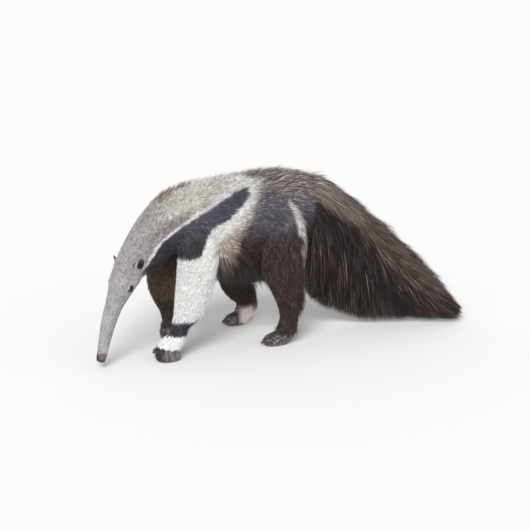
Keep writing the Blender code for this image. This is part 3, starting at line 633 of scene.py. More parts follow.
# Face, drawn for an eye of radius 0.0095 and enlarged by EYE_SCALE: half length and half height of the
# open eye, size of the lids and how far they stand out
EYE_SCALE = 1.25
EYE_OPENING = (0.0092, 0.0062)
LID_WIDTH = 0.0042
LID_RISE = 0.0034
EYE_TILT = math.radians(8)
EYE_FINE = 0.036
SNOUT_FINE = 0.040
MOUTH_LENGTH = 0.030
MOUTH_BELOW = 0.006
NOSTRIL_SPREAD = 0.0078
NOSTRIL_RISE = 0.0048


def bump(distance, width):
    """A smooth bump: 1 at no distance, falling away over `width`."""
    return np.exp(-((distance / width) ** 2))


def step(values, start, end):
    """Smoothly 0 before start and 1 after end, either way round."""
    t = np.clip((values - start) / (end - start), 0, 1)
    return t * t * (3 - 2 * t)


def eye_place(sign):
    """Middle of the eyeball, its radius and the directions ahead, up and out."""
    node = "eye_left" if sign > 0 else "eye_right"
    low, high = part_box(node)
    centre = frame_middle(node)
    _, ahead, side, top = head_axes(centre)
    out = side * sign
    ahead_turned = ahead * math.cos(EYE_TILT) - top * math.sin(EYE_TILT)
    top_turned = top * math.cos(EYE_TILT) + ahead * math.sin(EYE_TILT)
    return centre, max(high - low) / 2, ahead_turned, top_turned, out


def shape_eye(co, sign):
    """Lids round the eyeball, the fold above them, the pouch below and the corner's crease."""
    centre, radius, ahead, top, out = eye_place(sign)
    rel = (co - centre) / EYE_SCALE
    radius = radius / EYE_SCALE
    u, v, w = rel @ ahead, rel @ top, rel @ out
    near = (w > -0.014) & (np.hypot(u, v) < 0.045)
    length, height = EYE_OPENING
    open_edge = np.hypot(u / length, v / height * (1 + 0.25 * (u / length) ** 2))
    beyond = (open_edge - 1) * height
    ball_height = np.sqrt(np.clip(radius**2 - u**2 - v**2, 0, None))
    lid = bump(beyond - LID_WIDTH * 0.35, LID_WIDTH)
    dome = np.where(np.hypot(u, v) < radius, ball_height + 0.0016, 0)
    move = np.zeros(len(co))
    held = step(np.hypot(u * 0.85, v), 0.0155, 0.0090)
    lid_top = np.maximum(w, dome * held)
    move += np.where(beyond > 0, (lid_top - w) * held, 0)
    move += 0.0012 * lid * (beyond > 0)
    inside = step(beyond, 0.0006, -0.0010)
    move += inside * (-0.0030 - w - move)
    move -= 0.0010 * bump(v - 0.0120 + 8 * u**2, 0.0011) * bump(u, 0.011)
    move += 0.0022 * bump(v - 0.0190 + 6 * u**2, 0.0050) * bump(u + 0.002, 0.017)
    move -= 0.0009 * bump(v + 0.0112 - 9 * u**2, 0.0011) * bump(u - 0.001, 0.010)
    move += 0.0012 * bump(v + 0.0155 - 5 * u**2, 0.0035) * bump(u, 0.014)
    tear = bump(v + 0.0012 + 0.10 * (u - length), 0.0011) * step(u, length * 0.8, length) * step(u, 0.019, 0.012)
    move -= 0.0014 * tear
    return np.where(near, move * EYE_SCALE, 0)[:, None] * out


def shape_snout(co, normals):
    """Mouth line, lips and nostrils at the end of the snout."""
    rows, lines = head_lines()
    tip, ahead = rows[-1][:3], lines[-1]
    side = unit(np.cross(UP, ahead))
    top = unit(np.cross(ahead, side))
    rel = co - tip
    u, s, v = rel @ ahead, rel @ side, rel @ top
    far = HEAD_TIP_ROUNDING
    along = step(u, far - MOUTH_LENGTH - 0.004, far - MOUTH_LENGTH)
    line = v + MOUTH_BELOW + 0.10 * (far - u)
    move = -0.0016 * bump(line, 0.00085) * along
    move += 0.0007 * bump(line - 0.0027, 0.0020) * along
    move += 0.0009 * bump(line + 0.0030, 0.0022) * along
    front = step(u, far - 0.016, far - 0.006)
    for sign in (1, -1):
        distance = np.hypot((s - sign * NOSTRIL_SPREAD) / 0.75, (v - NOSTRIL_RISE) / 1.25)
        move += (0.0012 * bump(distance - 0.0042, 0.0018) - 0.0055 * bump(distance, 0.0024)) * front
    move -= 0.0008 * bump(s, 0.0010) * front * step(v, -0.004, 0.000)
    return move[:, None] * normals


def shape_skull(co, normals):
    """Cheek, brow line and the faint hollows along the snout."""
    move = np.zeros(len(co))
    for sign in (1, -1):
        centre, _, ahead, top, out = eye_place(sign)
        rel = co - centre
        u, v, w = rel @ ahead, rel @ top, rel @ out
        side = step(w, -0.035, -0.010)
        move += 0.0035 * bump(u + 0.045, 0.030) * bump(v + 0.010, 0.024) * side
        move += 0.0020 * bump(u + 0.010, 0.030) * bump(v - 0.026, 0.009) * side
        move -= 0.0022 * bump(u - 0.040, 0.026) * bump(v - 0.004, 0.012) * side
        move -= 0.0012 * bump(u - 0.100, 0.050) * bump(v, 0.010) * side
    return np.where(on_head(co, 0.02), move, 0)[:, None] * normals


def refine(skin, chosen):
    """Subdivide the faces that these vertices hold."""
    select_vertices(skin, chosen)
    bpy.ops.mesh.select_mode(type="FACE")
    bpy.ops.mesh.subdivide(number_cuts=1, smoothness=0.0)
    bpy.ops.mesh.select_mode(type="VERT")
    bpy.ops.object.mode_set(mode="OBJECT")


def shape_face(skin, form):
    """Bring the head to its exact form, then model the eyes' lids, the mouth and the nostrils."""
    co = points_of(skin)
    refine(skin, on_head(co, 0.012) | (co[:, 2] < ANKLE_HEIGHT * 0.2))
    co = points_of(skin)
    tip = HEAD_TIP + CHEST
    near = np.linalg.norm(co - tip, axis=1) < SNOUT_FINE
    for sign in (1, -1):
        near |= np.linalg.norm(co - eye_place(sign)[0], axis=1) < EYE_FINE
    refine(skin, near & on_head(co))
    co = points_of(skin)
    ears = np.zeros(len(co), bool)
    for sign in (1, -1):
        ears |= np.linalg.norm(co - ear_axes(sign)[0], axis=1) < EAR_HEIGHT * 0.62
    skin.vertex_groups.clear()
    rows, lines = head_lines()
    blend = step((co - rows[0][:3]) @ lines[0], -0.010, 0.030) * (co[:, 1] < THROAT_Y)
    vertex_group(skin, "form", np.where(ears, 0.0, blend))
    apply_modifier(skin, "SHRINKWRAP", target=form, wrap_method="NEAREST_SURFACEPOINT", vertex_group="form")
    bpy.data.objects.remove(form)
    co, normals = points_of(skin), normals_of(skin)
    co = co + shape_skull(co, normals)
    set_points(skin, co)
    co = co + shape_snout(co, normals_of(skin))
    for sign in (1, -1):
        co = co + shape_eye(co, sign)
    co[:, 2] = np.maximum(co[:, 2], 0.0002)
    set_points(skin, co)
    skin.vertex_groups.clear()


# Markings, drawn from the side as y and z measured from under the chest
STRIPE = (
    (-0.345, 0.275), (-0.294, 0.336), (-0.253, 0.392), (-0.200, 0.459), (-0.131, 0.501), (-0.050, 0.546),
    (0.038, 0.582), (0.110, 0.612), (0.160, 0.626), (0.170, 0.618), (0.149, 0.582), (0.113, 0.551),
    (0.059, 0.517), (0.001, 0.497), (-0.028, 0.456), (-0.068, 0.395), (-0.150, 0.380), (-0.200, 0.200),
)
STRIPE_TOP = STRIPE[1:9]
STRIPE_TOP_WIDTH = (0.009, 0.010, 0.011, 0.012, 0.013, 0.016, 0.024, 0.040)
NECK_PATCH = (
    (-0.345, 0.275), (-0.294, 0.330), (-0.253, 0.386), (-0.200, 0.453), (-0.131, 0.495), (-0.050, 0.540),
    (0.038, 0.576), (0.110, 0.606), (0.190, 0.610), (0.232, 0.640), (0.235, 0.720), (-0.500, 0.720), (-0.500, 0.275),
)
CREAM_PATCH = (
    (0.100, 0.655), (0.238, 0.670), (0.225, 0.625), (0.200, 0.585), (0.178, 0.545), (0.148, 0.500), (0.115, 0.456),
    (0.090, 0.410), (0.078, 0.365), (0.060, 0.300), (0.035, 0.230), (-0.120, 0.230), (-0.120, 0.420),
)
WHITE_PATCH = (
    (-0.110, 0.375), (-0.058, 0.475), (-0.030, 0.515), (0.030, 0.540), (0.085, 0.575), (0.120, 0.600), (0.090, 0.640),
    (0.160, 0.680), (0.236, 0.678), (0.202, 0.602), (0.158, 0.545), (0.111, 0.498), (0.030, 0.440), (-0.022, 0.370),
)
PALE_BACK = ((-0.260, 0.500), (-0.190, 0.556), (-0.120, 0.592), (-0.040, 0.620), (0.060, 0.644), (0.190, 0.655))
PALE_BACK_WIDTH = (0.020, 0.028, 0.034, 0.040, 0.044, 0.050)
DORSAL_LINE = (
    (-0.285, 0.512), (-0.250, 0.555), (-0.210, 0.592), (-0.111, 0.642), (0.019, 0.674), (0.149, 0.684), (0.290, 0.684),
)
DORSAL_WIDTH = (0.003, 0.006, 0.008, 0.010, 0.013, 0.024, 0.058)
THIGH_STREAK = ((0.328, 0.553), (0.352, 0.510), (0.368, 0.467), (0.376, 0.400), (0.370, 0.330), (0.364, 0.200))
THIGH_STREAK_WIDTH = (0.008, 0.018, 0.022, 0.020, 0.014, 0.010)

WHITE = (0.94, 0.935, 0.925)
PALE = (0.84, 0.80, 0.75)
HEAD_GREY = (0.405, 0.392, 0.416)
NECK_GREY = (0.370, 0.330, 0.315)
BLACK = (0.048, 0.047, 0.060)
# Painted sheen: blue-grey of the sky reflected on the upper part of the black stripe
STRIPE_SKY_SHEEN = (0.128, 0.131, 0.166)
DORSAL_BROWN = (0.300, 0.255, 0.235)
CREAM_BROWN = (0.640, 0.540, 0.460)
FLANK_BLUE = (0.190, 0.190, 0.222)
HAUNCH_BROWN = (0.068, 0.047, 0.047)
BELLY_DARK = (0.036, 0.027, 0.026)
RUMP_BROWN = (0.360, 0.307, 0.284)
LEG_DARK = (0.062, 0.041, 0.037)
FORE_INNER = (0.130, 0.085, 0.058)
FORE_INNER_TAN = (0.340, 0.225, 0.160)
WRIST_OLIVE = (0.046, 0.040, 0.032)
HEEL_PINK = np.array((0.95, 0.79, 0.75))
TOE_DARK = (0.034, 0.030, 0.032)
PAD_GREY = (0.110, 0.092, 0.106)
PAD_BLACK = (0.024, 0.022, 0.024)
PAD_BROWN = (0.270, 0.160, 0.125)
PAD_PALE = (0.36, 0.33, 0.35)
SNOUT_DARK = (0.070, 0.050, 0.042)
SNOUT_TAN = (0.40, 0.27, 0.21)
LID_PINK = (0.50, 0.36, 0.33)
LID_DARK = (0.020, 0.013, 0.011)
FOREHEAD_TAN = (0.440, 0.370, 0.350)
EAR_HOLLOW_SHADE = (0.011, 0.006, 0.004)
EAR_BROWN = (0.085, 0.050, 0.036)
EAR_FOLD_SHADE = (0.085, 0.088, 0.112)
EAR_BACK_GREY = (0.110, 0.085, 0.078)
EAR_RIM = (0.56, 0.50, 0.49)
TAIL_DARK = (0.040, 0.027, 0.024)
TAIL_BLUE = (0.034, 0.029, 0.034)
TAIL_TAN = (0.420, 0.330, 0.285)


def mix(a, b, share):
    """Colours from a to b."""
    share = np.asarray(share)[..., None]
    return np.asarray(a) * (1 - share) + np.asarray(b) * share


def ripple(points, size, seed, waves=6):
    """A smooth random value from about -1 to 1 that changes over `size`."""
    draw = np.random.default_rng(seed)
    turns = unit(draw.normal(size=(waves, 3))) * 2 * math.pi / size * draw.uniform(0.6, 1.4, (waves, 1))
    starts = draw.uniform(0, 2 * math.pi, waves)
    return np.sin(points @ turns.T + starts).sum(axis=1) / math.sqrt(waves / 2) * 0.6


def to_line(side, line):
    """Distance from a line drawn from the side, and how many of its points lie before the nearest place."""
    line = np.array(line)
    start, span = line[:-1], np.diff(line, axis=0)
    rel = side[:, None, :] - start
    share = np.clip((rel * span).sum(axis=2) / (span**2).sum(axis=1), 0, 1)
    distance = np.linalg.norm(rel - share[:, :, None] * span, axis=2)
    nearest = distance.argmin(axis=1)
    rows = np.arange(len(side))
    return distance[rows, nearest], nearest + share[rows, nearest]


def stroke(side, line, widths):
    """1 on a line drawn from the side, 0 beyond its width."""
    distance, place = to_line(side, line)
    width = np.interp(place, np.arange(len(line)), widths)
    return step(distance, width * 1.25, width * 0.65)


def patch(side, outline, soft):
    """1 inside an outline drawn from the side, 0 outside, soft at its edge."""
    closed = np.array((*outline, outline[0]))
    distance, _ = to_line(side, closed)
    y, z = side.T
    inside = np.zeros(len(side), bool)
    for (y0, z0), (y1, z1) in zip(closed, closed[1:]):
        if z0 != z1:
            crossed = (z0 > z) != (z1 > z)
            inside ^= crossed & (y < (y1 - y0) * (z - z0) / (z1 - z0) + y0)
    return step(np.where(inside, distance, -distance), -soft, soft)


def trunk_colour(p, normals):
    """The bands of neck and body."""
    _, y, z = p.T
    side = p[:, 1:] + np.stack([ripple(p, 0.035, 5), ripple(p, 0.035, 6)], axis=1) * 0.003
    ragged = p[:, 1:] + np.stack([ripple(p, 0.05, 7), ripple(p, 0.05, 8)], axis=1) * 0.007
    colour = mix(FLANK_BLUE, HAUNCH_BROWN, step(z + 0.02 * ripple(p, 0.09, 26), 0.545, 0.41))
    colour = mix(colour, RUMP_BROWN, step(z + (y - 0.25) * 0.30, 0.575, 0.630))
    streak = stroke(ragged, THIGH_STREAK, THIGH_STREAK_WIDTH) * step(normals[:, 2], -0.5, -0.2)
    colour = mix(colour, PALE, streak * np.interp(z, (0.25, 0.38, 0.46, 0.53), (0.14, 0.34, 0.92, 0.85)))
    colour = mix(colour, CREAM_BROWN, patch(ragged, CREAM_PATCH, 0.026))
    colour = mix(colour, WHITE, patch(side, WHITE_PATCH, 0.018))
    neck = mix(NECK_GREY, HEAD_GREY, step(y, -0.16, -0.34))
    neck = mix(neck, PALE, np.interp(y, (-0.14, 0.00, 0.12), (0.0, 0.60, 1.00)))
    neck = mix(neck, PALE, stroke(side, PALE_BACK, PALE_BACK_WIDTH) * np.interp(y, (-0.24, -0.10), (0.10, 0.92)))
    colour = mix(colour, neck, patch(side, NECK_PATCH, 0.010))
    colour = mix(colour, WHITE, stroke(side, STRIPE_TOP, STRIPE_TOP_WIDTH))
    colour = mix(colour, DORSAL_BROWN, stroke(side, DORSAL_LINE, DORSAL_WIDTH))
    # The stripe's upper part turns blue-grey: painted sheen, the sky reflected on its black hair
    black = mix(BLACK, STRIPE_SKY_SHEEN, step(z, 0.42, 0.56))
    colour = mix(colour, black, patch(side, STRIPE, 0.004))
    under = step(normals[:, 2], -0.40, -0.80) * step(y, -0.345, -0.30)
    return mix(colour, mix(BLACK, BELLY_DARK, step(y, 0.0, 0.10)), under)


# Forelegs: heights of the wrist's black band and of the pad, and how far inwards the white reaches
BAND_TOP = 0.146
BAND_BOTTOM = 0.093
FORE_PAD_TOP = 0.050
WHITE_REACHES = {"foreleg_left": -0.60, "foreleg_right": 0.45}
HIND_PAD_TOP = 0.030
HEEL_Y = -0.004
HEEL_Z = 0.036
HEEL_LONG = 0.042
HEEL_HIGH = 0.042


def foreleg_colour(p, normals, name):
    """White outside with a black wrist, brown inside, and the dark pad below."""
    side = LEGS[name][1]
    z = p[:, 2] + ripple(p, 0.014, 9) * 0.004
    band = step(z, BAND_TOP + 0.003, BAND_TOP - 0.003) * step(z, BAND_BOTTOM - 0.003, BAND_BOTTOM + 0.003)
    outer = mix(WHITE, BLACK, band)
    behind = step(normals[:, 1], -0.10, 0.75)
    inner = mix(mix(FORE_INNER, FORE_INNER_TAN, behind), WRIST_OLIVE, step(z, 0.200, 0.150) * (1 - 0.6 * behind))
    reach = WHITE_REACHES[name]
    colour = mix(inner, outer, step(normals[:, 0] * side, reach - 0.15, reach + 0.15))
    rear = p[:, 1] - LEGS[name][0][-1][1] + 0.037
    cuff = z - FORE_PAD_TOP + 0.20 * rear * side
    return mix(colour, pad_colour(p, rear), step(cuff, 0.003, -0.003))


def pad_colour(p, rear):
    """A leathery pad: black in front, grey in the middle, reddish along its hind lower rim, with paler scuffs."""
    colour = mix(PAD_BLACK, PAD_GREY, step(rear, -0.040, -0.012))
    colour = mix(colour, PAD_BROWN, step(rear + 0.6 * (0.020 - p[:, 2]), 0.004, 0.028))
    scuffs = np.clip(0.15 + 0.45 * ripple(p, 0.016, 17) + 0.30 * ripple(p, 0.007, 18), 0, 0.6)
    return mix(colour, PAD_PALE, scuffs * step(rear, -0.045, -0.020))


def hindleg_colour(p, normals, name):
    """Dark brown, with a pale bare heel inside."""
    side = LEGS[name][1]
    x, y, z = p.T
    ankle_y = LEGS[name][0][-1][1]
    colour = mix(HAUNCH_BROWN, LEG_DARK, step(z, 0.30, 0.20))
    toes = step(z, 0.060, 0.045) * step(y, ankle_y - 0.020, ankle_y - 0.045)
    colour = mix(colour, TOE_DARK, toes)
    scuffs = np.clip(0.24 + 0.50 * ripple(p, 0.014, 19) + 0.35 * ripple(p, 0.006, 20), 0, 0.8)
    colour = mix(colour, PAD_PALE, scuffs * step(z, 0.050, 0.030))
    colour = mix(colour, PAD_BROWN, step(z, 0.017, 0.005) * 0.6)
    across, up = (y - ankle_y - HEEL_Y) / HEEL_LONG, (z - HEEL_Z) / HEEL_HIGH
    heel = step(np.hypot(across, up) + 0.10 * ripple(p, 0.03, 27), 1.25, 0.70) * step(normals[:, 0] * side, 0.40, 0.10)
    return mix(colour, HEEL_PINK * (1 + 0.10 * ripple(p, 0.02, 25))[:, None], heel)


def head_colour(p):
    """Grey, with pinkish lids and a dark snout tip."""
    place = p + CHEST
    rows, lines = head_lines()
    tip, ahead = rows[-1][:3], lines[-1]
    mottle = 0.09 * ripple(p, 0.05, 12) + 0.13 * ripple(p, 0.014, 14)
    colour = np.tile(HEAD_GREY, (len(p), 1)) * (1 + mottle)[:, None]
    brow = step((place - rows[0][:3]) @ lines[0], 0.115, 0.050)
    colour = mix(colour, FOREHEAD_TAN, brow * np.clip(0.42 + 0.40 * ripple(p, 0.022, 15), 0, 1))
    forward = (place - tip) @ ahead
    colour = mix(colour, SNOUT_DARK, step(forward + ripple(p, 0.02, 13) * 0.004, -0.030, -0.016))
    tan = bump(forward + 0.012, 0.010) * step((place - tip) @ unit(np.cross(UP, ahead)), 0.004, 0.012)
    colour = mix(colour, SNOUT_TAN, tan * 0.5)
    for sign in (1, -1):
        centre, radius, fore, top, out = eye_place(sign)
        rel = (place - centre) / EYE_SCALE
        u, v, w = rel @ fore, rel @ top, rel @ out
        ring_share = bump(np.hypot(u / 1.35, v + 0.002) - 0.009, 0.007) * step(w, -0.012, -0.004)
        colour = mix(colour, LID_PINK, ring_share * (0.62 + 0.25 * ripple(p, 0.010, 16)))
        rim = step(np.hypot(u / EYE_OPENING[0], v / EYE_OPENING[1]), 1.35, 1.08) * step(w, -0.006, 0.0)
        colour = mix(colour, LID_DARK, rim)
    return colour


def ear_shares(p, normals):
    """How far points lie on an ear, in its cup, on its front, in its upper half and in the fold before it, where shade
    is painted.
    """
    shares = []
    for sign in (1, -1):
        centre, across, rise, facing = ear_axes(sign)
        rel = p + CHEST - centre
        u, v, w = rel @ across / (EAR_WIDTH / 2), rel @ rise / (EAR_HEIGHT / 2), rel @ facing / (EAR_DEPTH / 2)
        on_ear = step(u**2 + v**2 + w**2, 1.35, 1.15) * step(v, -0.80, -0.55)
        inside = on_ear * step(normals @ facing, 0.0, 0.35) * step(np.hypot(u * 1.15, v * 0.95), 0.88, 0.76)
        rim = on_ear * step(normals @ facing, -0.2, 0.3)
        fold = bump(np.hypot((u * sign + 1.25) / 0.32, (v + 0.25) / 0.55), 1.0) * step(w, -2.0, -1.2)
        shares.append((on_ear, inside, rim, step(v, 0.05, 0.65), fold))
    return shares


def ear_colour(p, normals, colour):
    """Dark brown inside the cups with painted shade in their lower half, grey behind, a paler rim, painted shade in
    the fold before each ear.
    """
    for on_ear, inside, rim, upper, fold in ear_shares(p, normals):
        colour = mix(colour, mix(HEAD_GREY, EAR_BACK_GREY, upper), on_ear)
        colour = mix(colour, EAR_RIM, rim * 0.85)
        # Painted shade: a dark blue-grey patch in the fold before the ear
        colour = mix(colour, EAR_FOLD_SHADE, fold * 0.8 * (1 - rim))
        # Painted shade: the cup's lower half darkened as the hollow's shade, its upper half brown
        colour = mix(colour, mix(EAR_HOLLOW_SHADE, EAR_BROWN, upper), inside)
    return colour


def coat_colour(points, normals, guide):
    """Colour of skin and coat at points in the frame."""
    p = points - CHEST
    z = p[:, 2]
    colour = trunk_colour(p, normals)
    tail = mix(TAIL_DARK, RUMP_BROWN, step(normals[:, 2], 0.0, 0.6))
    colour = mix(colour, tail, guide.on("tail") * step(p[:, 1], 0.44, 0.52))
    for name in LEGS:
        chosen = guide.on(name, name.replace("leg", "foot"))
        if name.startswith("fore"):
            painted, share = foreleg_colour(p, normals, name), step(z, 0.392, 0.380)
        else:
            painted, share = hindleg_colour(p, normals, name), step(z, 0.36, 0.28)
        colour = mix(colour, painted, chosen * share)
    rows, lines = head_lines()
    beyond = step((points - rows[0][:3]) @ lines[0], -0.035, 0.030)
    throat = step(p[:, 1], -0.255, -0.285)
    colour = mix(colour, head_colour(p), np.where(guide.on("head"), np.maximum(beyond, 0.5), beyond * throat * guide.on("trunk")))
    return np.clip(ear_colour(p, normals, colour), 0.004, 0.95)


# Coat: each region's spacing between tufts, tuft length, width and lift at the tip, and its share of
# the way that it hangs. Colours vary from tuft to tuft by `fleck`
SEED = 7
ROOT_DEPTH = 0.004
TUFT_THICKNESS = 0.30
UV_PATCH = 0.003


class Tufts:
    """Many tufts, each with a root, a bend, a tip, a width and colours at root, middle and tip."""

    def __init__(self, root, bend, tip, out, width, colours, uv):
        self.root, self.bend, self.tip, self.out = root, bend, tip, out
        self.width, self.colours, self.uv = width, colours, uv

    def part(self, chosen):
        return Tufts(*(getattr(self, name)[chosen] for name in ("root", "bend", "tip", "out", "width")),
                     [colour[chosen] for colour in self.colours], self.uv[chosen])


def tuft_mesh(name, tufts, steps, widths):
    """One mesh of closed three-sided blades that taper to a point."""
    count, levels = len(tufts.root), len(steps)
    corners = np.empty((count, levels * 3 + 1, 3))
    shades = np.empty((count, levels * 3 + 1, 3))
    patch_uv = np.empty((levels * 3 + 1, 2))
    for j, (t, wide) in enumerate(zip(steps, widths)):
        place = tufts.root * (1 - t) ** 2 + tufts.bend * 2 * t * (1 - t) + tufts.tip * t**2
        along = unit((tufts.bend - tufts.root) * (1 - t) + (tufts.tip - tufts.bend) * t)
        across = unit(np.cross(along, tufts.out))
        ridge = np.cross(across, along)
        half = across * (tufts.width * wide / 2)[:, None]
        corners[:, j * 3] = place - half
        corners[:, j * 3 + 1] = place + half
        corners[:, j * 3 + 2] = place + ridge * (tufts.width * wide * TUFT_THICKNESS)[:, None]
        first, last = (tufts.colours[0], tufts.colours[1]) if t < 0.5 else (tufts.colours[1], tufts.colours[2])
        shade = first + (last - first) * (t * 2 % 1)
        for k in range(3):
            shades[:, j * 3 + k] = shade
            patch_uv[j * 3 + k] = ((k / 2 - 0.5) * UV_PATCH, (t - 0.5) * UV_PATCH)
    corners[:, -1] = tufts.tip
    shades[:, -1] = tufts.colours[2]
    patch_uv[-1] = (0.0, UV_PATCH / 2)
    faces = [(0, 2, 1)]
    for j in range(levels - 1):
        for k in range(3):
            after = (k + 1) % 3
            faces.append((j * 3 + k, j * 3 + after, j * 3 + 3 + after))
            faces.append((j * 3 + k, j * 3 + 3 + after, j * 3 + 3 + k))
    last = (levels - 1) * 3
    faces += [(last + k, last + (k + 1) % 3, levels * 3) for k in range(3)]
    return mesh_from(name, corners, shades, np.array(faces), tufts.uv[:, None, :] + patch_uv)


def mesh_from(name, corners, shades, faces, uv):
    """An object from many like shapes with the same faces."""
    count, each = corners.shape[:2]
    index = (faces[None, :, :] + (np.arange(count) * each)[:, None, None]).reshape(-1)
    mesh = bpy.data.meshes.new(name)
    mesh.vertices.add(count * each)
    mesh.vertices.foreach_set("co", corners.astype(np.float32).ravel())
    mesh.loops.add(len(index))
    mesh.loops.foreach_set("vertex_index", index.astype(np.int32))
    mesh.polygons.add(len(index) // 3)
    mesh.polygons.foreach_set("loop_start", np.arange(0, len(index), 3, dtype=np.int32))
    mesh.update(calc_edges=True)
    mesh.validate()
    set_colours(mesh, shades.reshape(-1, 3))
    layer = mesh.uv_layers.new(name="OFBake")
    layer.data.foreach_set("uv", uv.reshape(-1, 2)[index].astype(np.float32).ravel())
    mesh.shade_smooth()
    piece = bpy.data.objects.new(name, mesh)
    bpy.context.scene.collection.objects.link(piece)
    return piece


def set_colours(mesh, colours):
    """The colour attribute that skin and coat share."""
    layer = mesh.color_attributes.new(name="coat_colour", type="FLOAT_COLOR", domain="POINT")
    full = np.ones((len(colours), 4), np.float32)
    full[:, :3] = colours
    layer.data.foreach_set("color", full.ravel())


class SkinSurface:
    """The finished skin as arrays, for rooting tufts on it."""

    def __init__(self, skin):
        mesh = skin.data
        mesh.calc_loop_triangles()
        count = len(mesh.loop_triangles)
        verts, loops = np.empty(count * 3, np.int32), np.empty(count * 3, np.int32)
        mesh.loop_triangles.foreach_get("vertices", verts)
        mesh.loop_triangles.foreach_get("loops", loops)
        uv = np.empty(len(mesh.loops) * 2, np.float32)
        mesh.uv_layers["OFBake"].data.foreach_get("uv", uv)
        self.points, self.normals = points_of(skin), normals_of(skin)
        self.triangles = verts.reshape(-1, 3)
        self.uv = uv.reshape(-1, 2)[loops.reshape(-1, 3)]
        self.guide = Guide(self.points, self.normals)
        self.colours = coat_colour(self.points, self.normals, self.guide)
        corners = self.points[self.triangles]
        self.areas = np.linalg.norm(np.cross(corners[:, 1] - corners[:, 0], corners[:, 2] - corners[:, 0]), axis=1) / 2

    def scatter(self, density, draw):
        """Random roots, `density` to the square metre for each triangle."""
        wanted = self.areas * density
        cumulative = np.cumsum(wanted)
        places = draw.uniform(0, cumulative[-1], int(cumulative[-1]))
        chosen = np.searchsorted(cumulative, places)
        a, b = draw.uniform(0, 1, (2, len(chosen)))
        flip = a + b > 1
        a, b = np.where(flip, 1 - a, a), np.where(flip, 1 - b, b)
        weight = np.stack([1 - a - b, a, b], axis=1)[:, :, None]
        verts = self.triangles[chosen]
        root = (self.points[verts] * weight).sum(axis=1)
        normal = unit((self.normals[verts] * weight).sum(axis=1))
        lie = (self.guide.lie[verts] * weight).sum(axis=1)
        uv = (self.uv[chosen] * weight).sum(axis=1)
        nearest = verts[np.arange(len(chosen)), weight[:, :, 0].argmax(axis=1)]
        return root, normal, unit(lie), uv, nearest


def tuft_sizes(p, normals, guide):
    """Spacing, length, width, lift and hang of the coat at points measured from under the chest."""
    _, y, z = p.T
    side = p[:, 1:]
    ones = np.ones(len(p))
    reach = (-0.34, -0.28, -0.12, 0.05, 0.20, 0.32, 0.44)
    length = np.interp(y, reach, (0.011, 0.013, 0.019, 0.023, 0.028, 0.034, 0.052))
    width = np.interp(y, reach, (0.0011, 0.0013, 0.0015, 0.0017, 0.0018, 0.0020, 0.0024))
    lift = np.interp(y, reach, (0.0020, 0.0030, 0.0045, 0.0055, 0.0065, 0.0075, 0.010))
    spacing = np.interp(y, reach, (0.0027, 0.0029, 0.0032, 0.0034, 0.0033, 0.0035, 0.0039))
    hang = 0.10 * ones
    back = step(normals[:, 2], 0.35, 0.85)
    length += back * np.interp(y, (-0.15, 0.05, 0.44), (0.0, 0.008, 0.012))
    lift += back * np.interp(y, (-0.24, -0.08, 0.30, 0.44), (0.0, 0.008, 0.009, 0.006))
    crest = stroke(side, DORSAL_LINE, np.array(DORSAL_WIDTH) * 1.2) * step(normals[:, 2], 0.3, 0.8)
    length += crest * np.interp(y, (-0.30, -0.1, 0.3), (0.003, 0.009, 0.016))
    lift += crest * np.interp(y, (-0.30, 0.0, 0.3), (0.002, 0.005, 0.005))
    haunch = step(y, 0.20, 0.34) * step(z, 0.28, 0.36) * step(normals[:, 2], 0.8, 0.3)
    hang += haunch * 0.30
    belly = step(normals[:, 2], -0.05, -0.55) * step(z, 0.26, 0.30) * step(y, -0.20, -0.02)
    length += belly * 0.055
    width += belly * 0.0008
    hang += belly * 1.6
    for name in LEGS:
        fore = name.startswith("fore")
        leg, foot = guide.on(name), guide.on(name.replace("leg", "foot"))
        low = step(z, 0.36, 0.24) * leg
        fringe = low * step(normals[:, 1], 0.35, 0.80) * step(z, 0.13, 0.20)
        length = length * (1 - low) + low * (0.019 if fore else 0.028) + fringe * (0.012 if fore else 0.034)
        width = width * (1 - low) + low * (0.0017 if fore else 0.0020)
        lift = lift * (1 - low) + low * (0.0035 if fore else 0.006) + fringe * (0.006 if fore else 0.012)
        hang = hang * (1 - low) + fringe * 0.25
        spacing = spacing * (1 - low) + low * (0.0035 if fore else 0.0036)
        bare = (z < (FORE_PAD_TOP if fore else HIND_PAD_TOP)) & foot
        length = np.where(foot, 0.010, length)
        width = np.where(foot, 0.0017, width)
        lift = np.where(foot, 0.0020, lift)
        spacing = np.where(foot, np.where(bare, 1.0, 0.0034), spacing)
    head = guide.on("head")
    length = np.where(head, np.interp(guide.share, (0, 0.25, 0.6, 0.9), (0.013, 0.008, 0.0055, 0.004)), length)
    width = np.where(head, np.interp(guide.share, (0, 0.3, 1.0), (0.0015, 0.0011, 0.0009)), width)
    lift = np.where(head, np.interp(guide.share, (0, 0.3, 1.0), (0.0022, 0.0012, 0.0007)), lift)
    hang = np.where(head, 0.0, hang)
    spacing = np.where(head, np.interp(guide.share, (0, 0.3, 0.9, 1.0), (0.0028, 0.0025, 0.0025, 0.0040)), spacing)
    for on_ear, inside, *_ in ear_shares(p, normals):
        length = length * (1 - on_ear) + 0.0045 * on_ear
        width = width * (1 - on_ear) + 0.0008 * on_ear
        lift = lift * (1 - on_ear) + 0.0008 * on_ear
        spacing = np.where(inside > 0.3, 1.0, spacing * (1 - 0.35 * on_ear))
    spacing = np.where(guide.on("tail") & (y > 0.50), 1.0, spacing)
    return spacing, length, width, lift, hang


FLECK = ((WHITE, 0.06), (PALE, 0.24), (HEAD_GREY, 0.34), (NECK_GREY, 0.50), (CREAM_BROWN, 0.42),
         (RUMP_BROWN, 0.75), (DORSAL_BROWN, 0.65), (BLACK, 0.40), (STRIPE_SKY_SHEEN, 0.35), (FLANK_BLUE, 0.50),
         (HAUNCH_BROWN, 0.55))


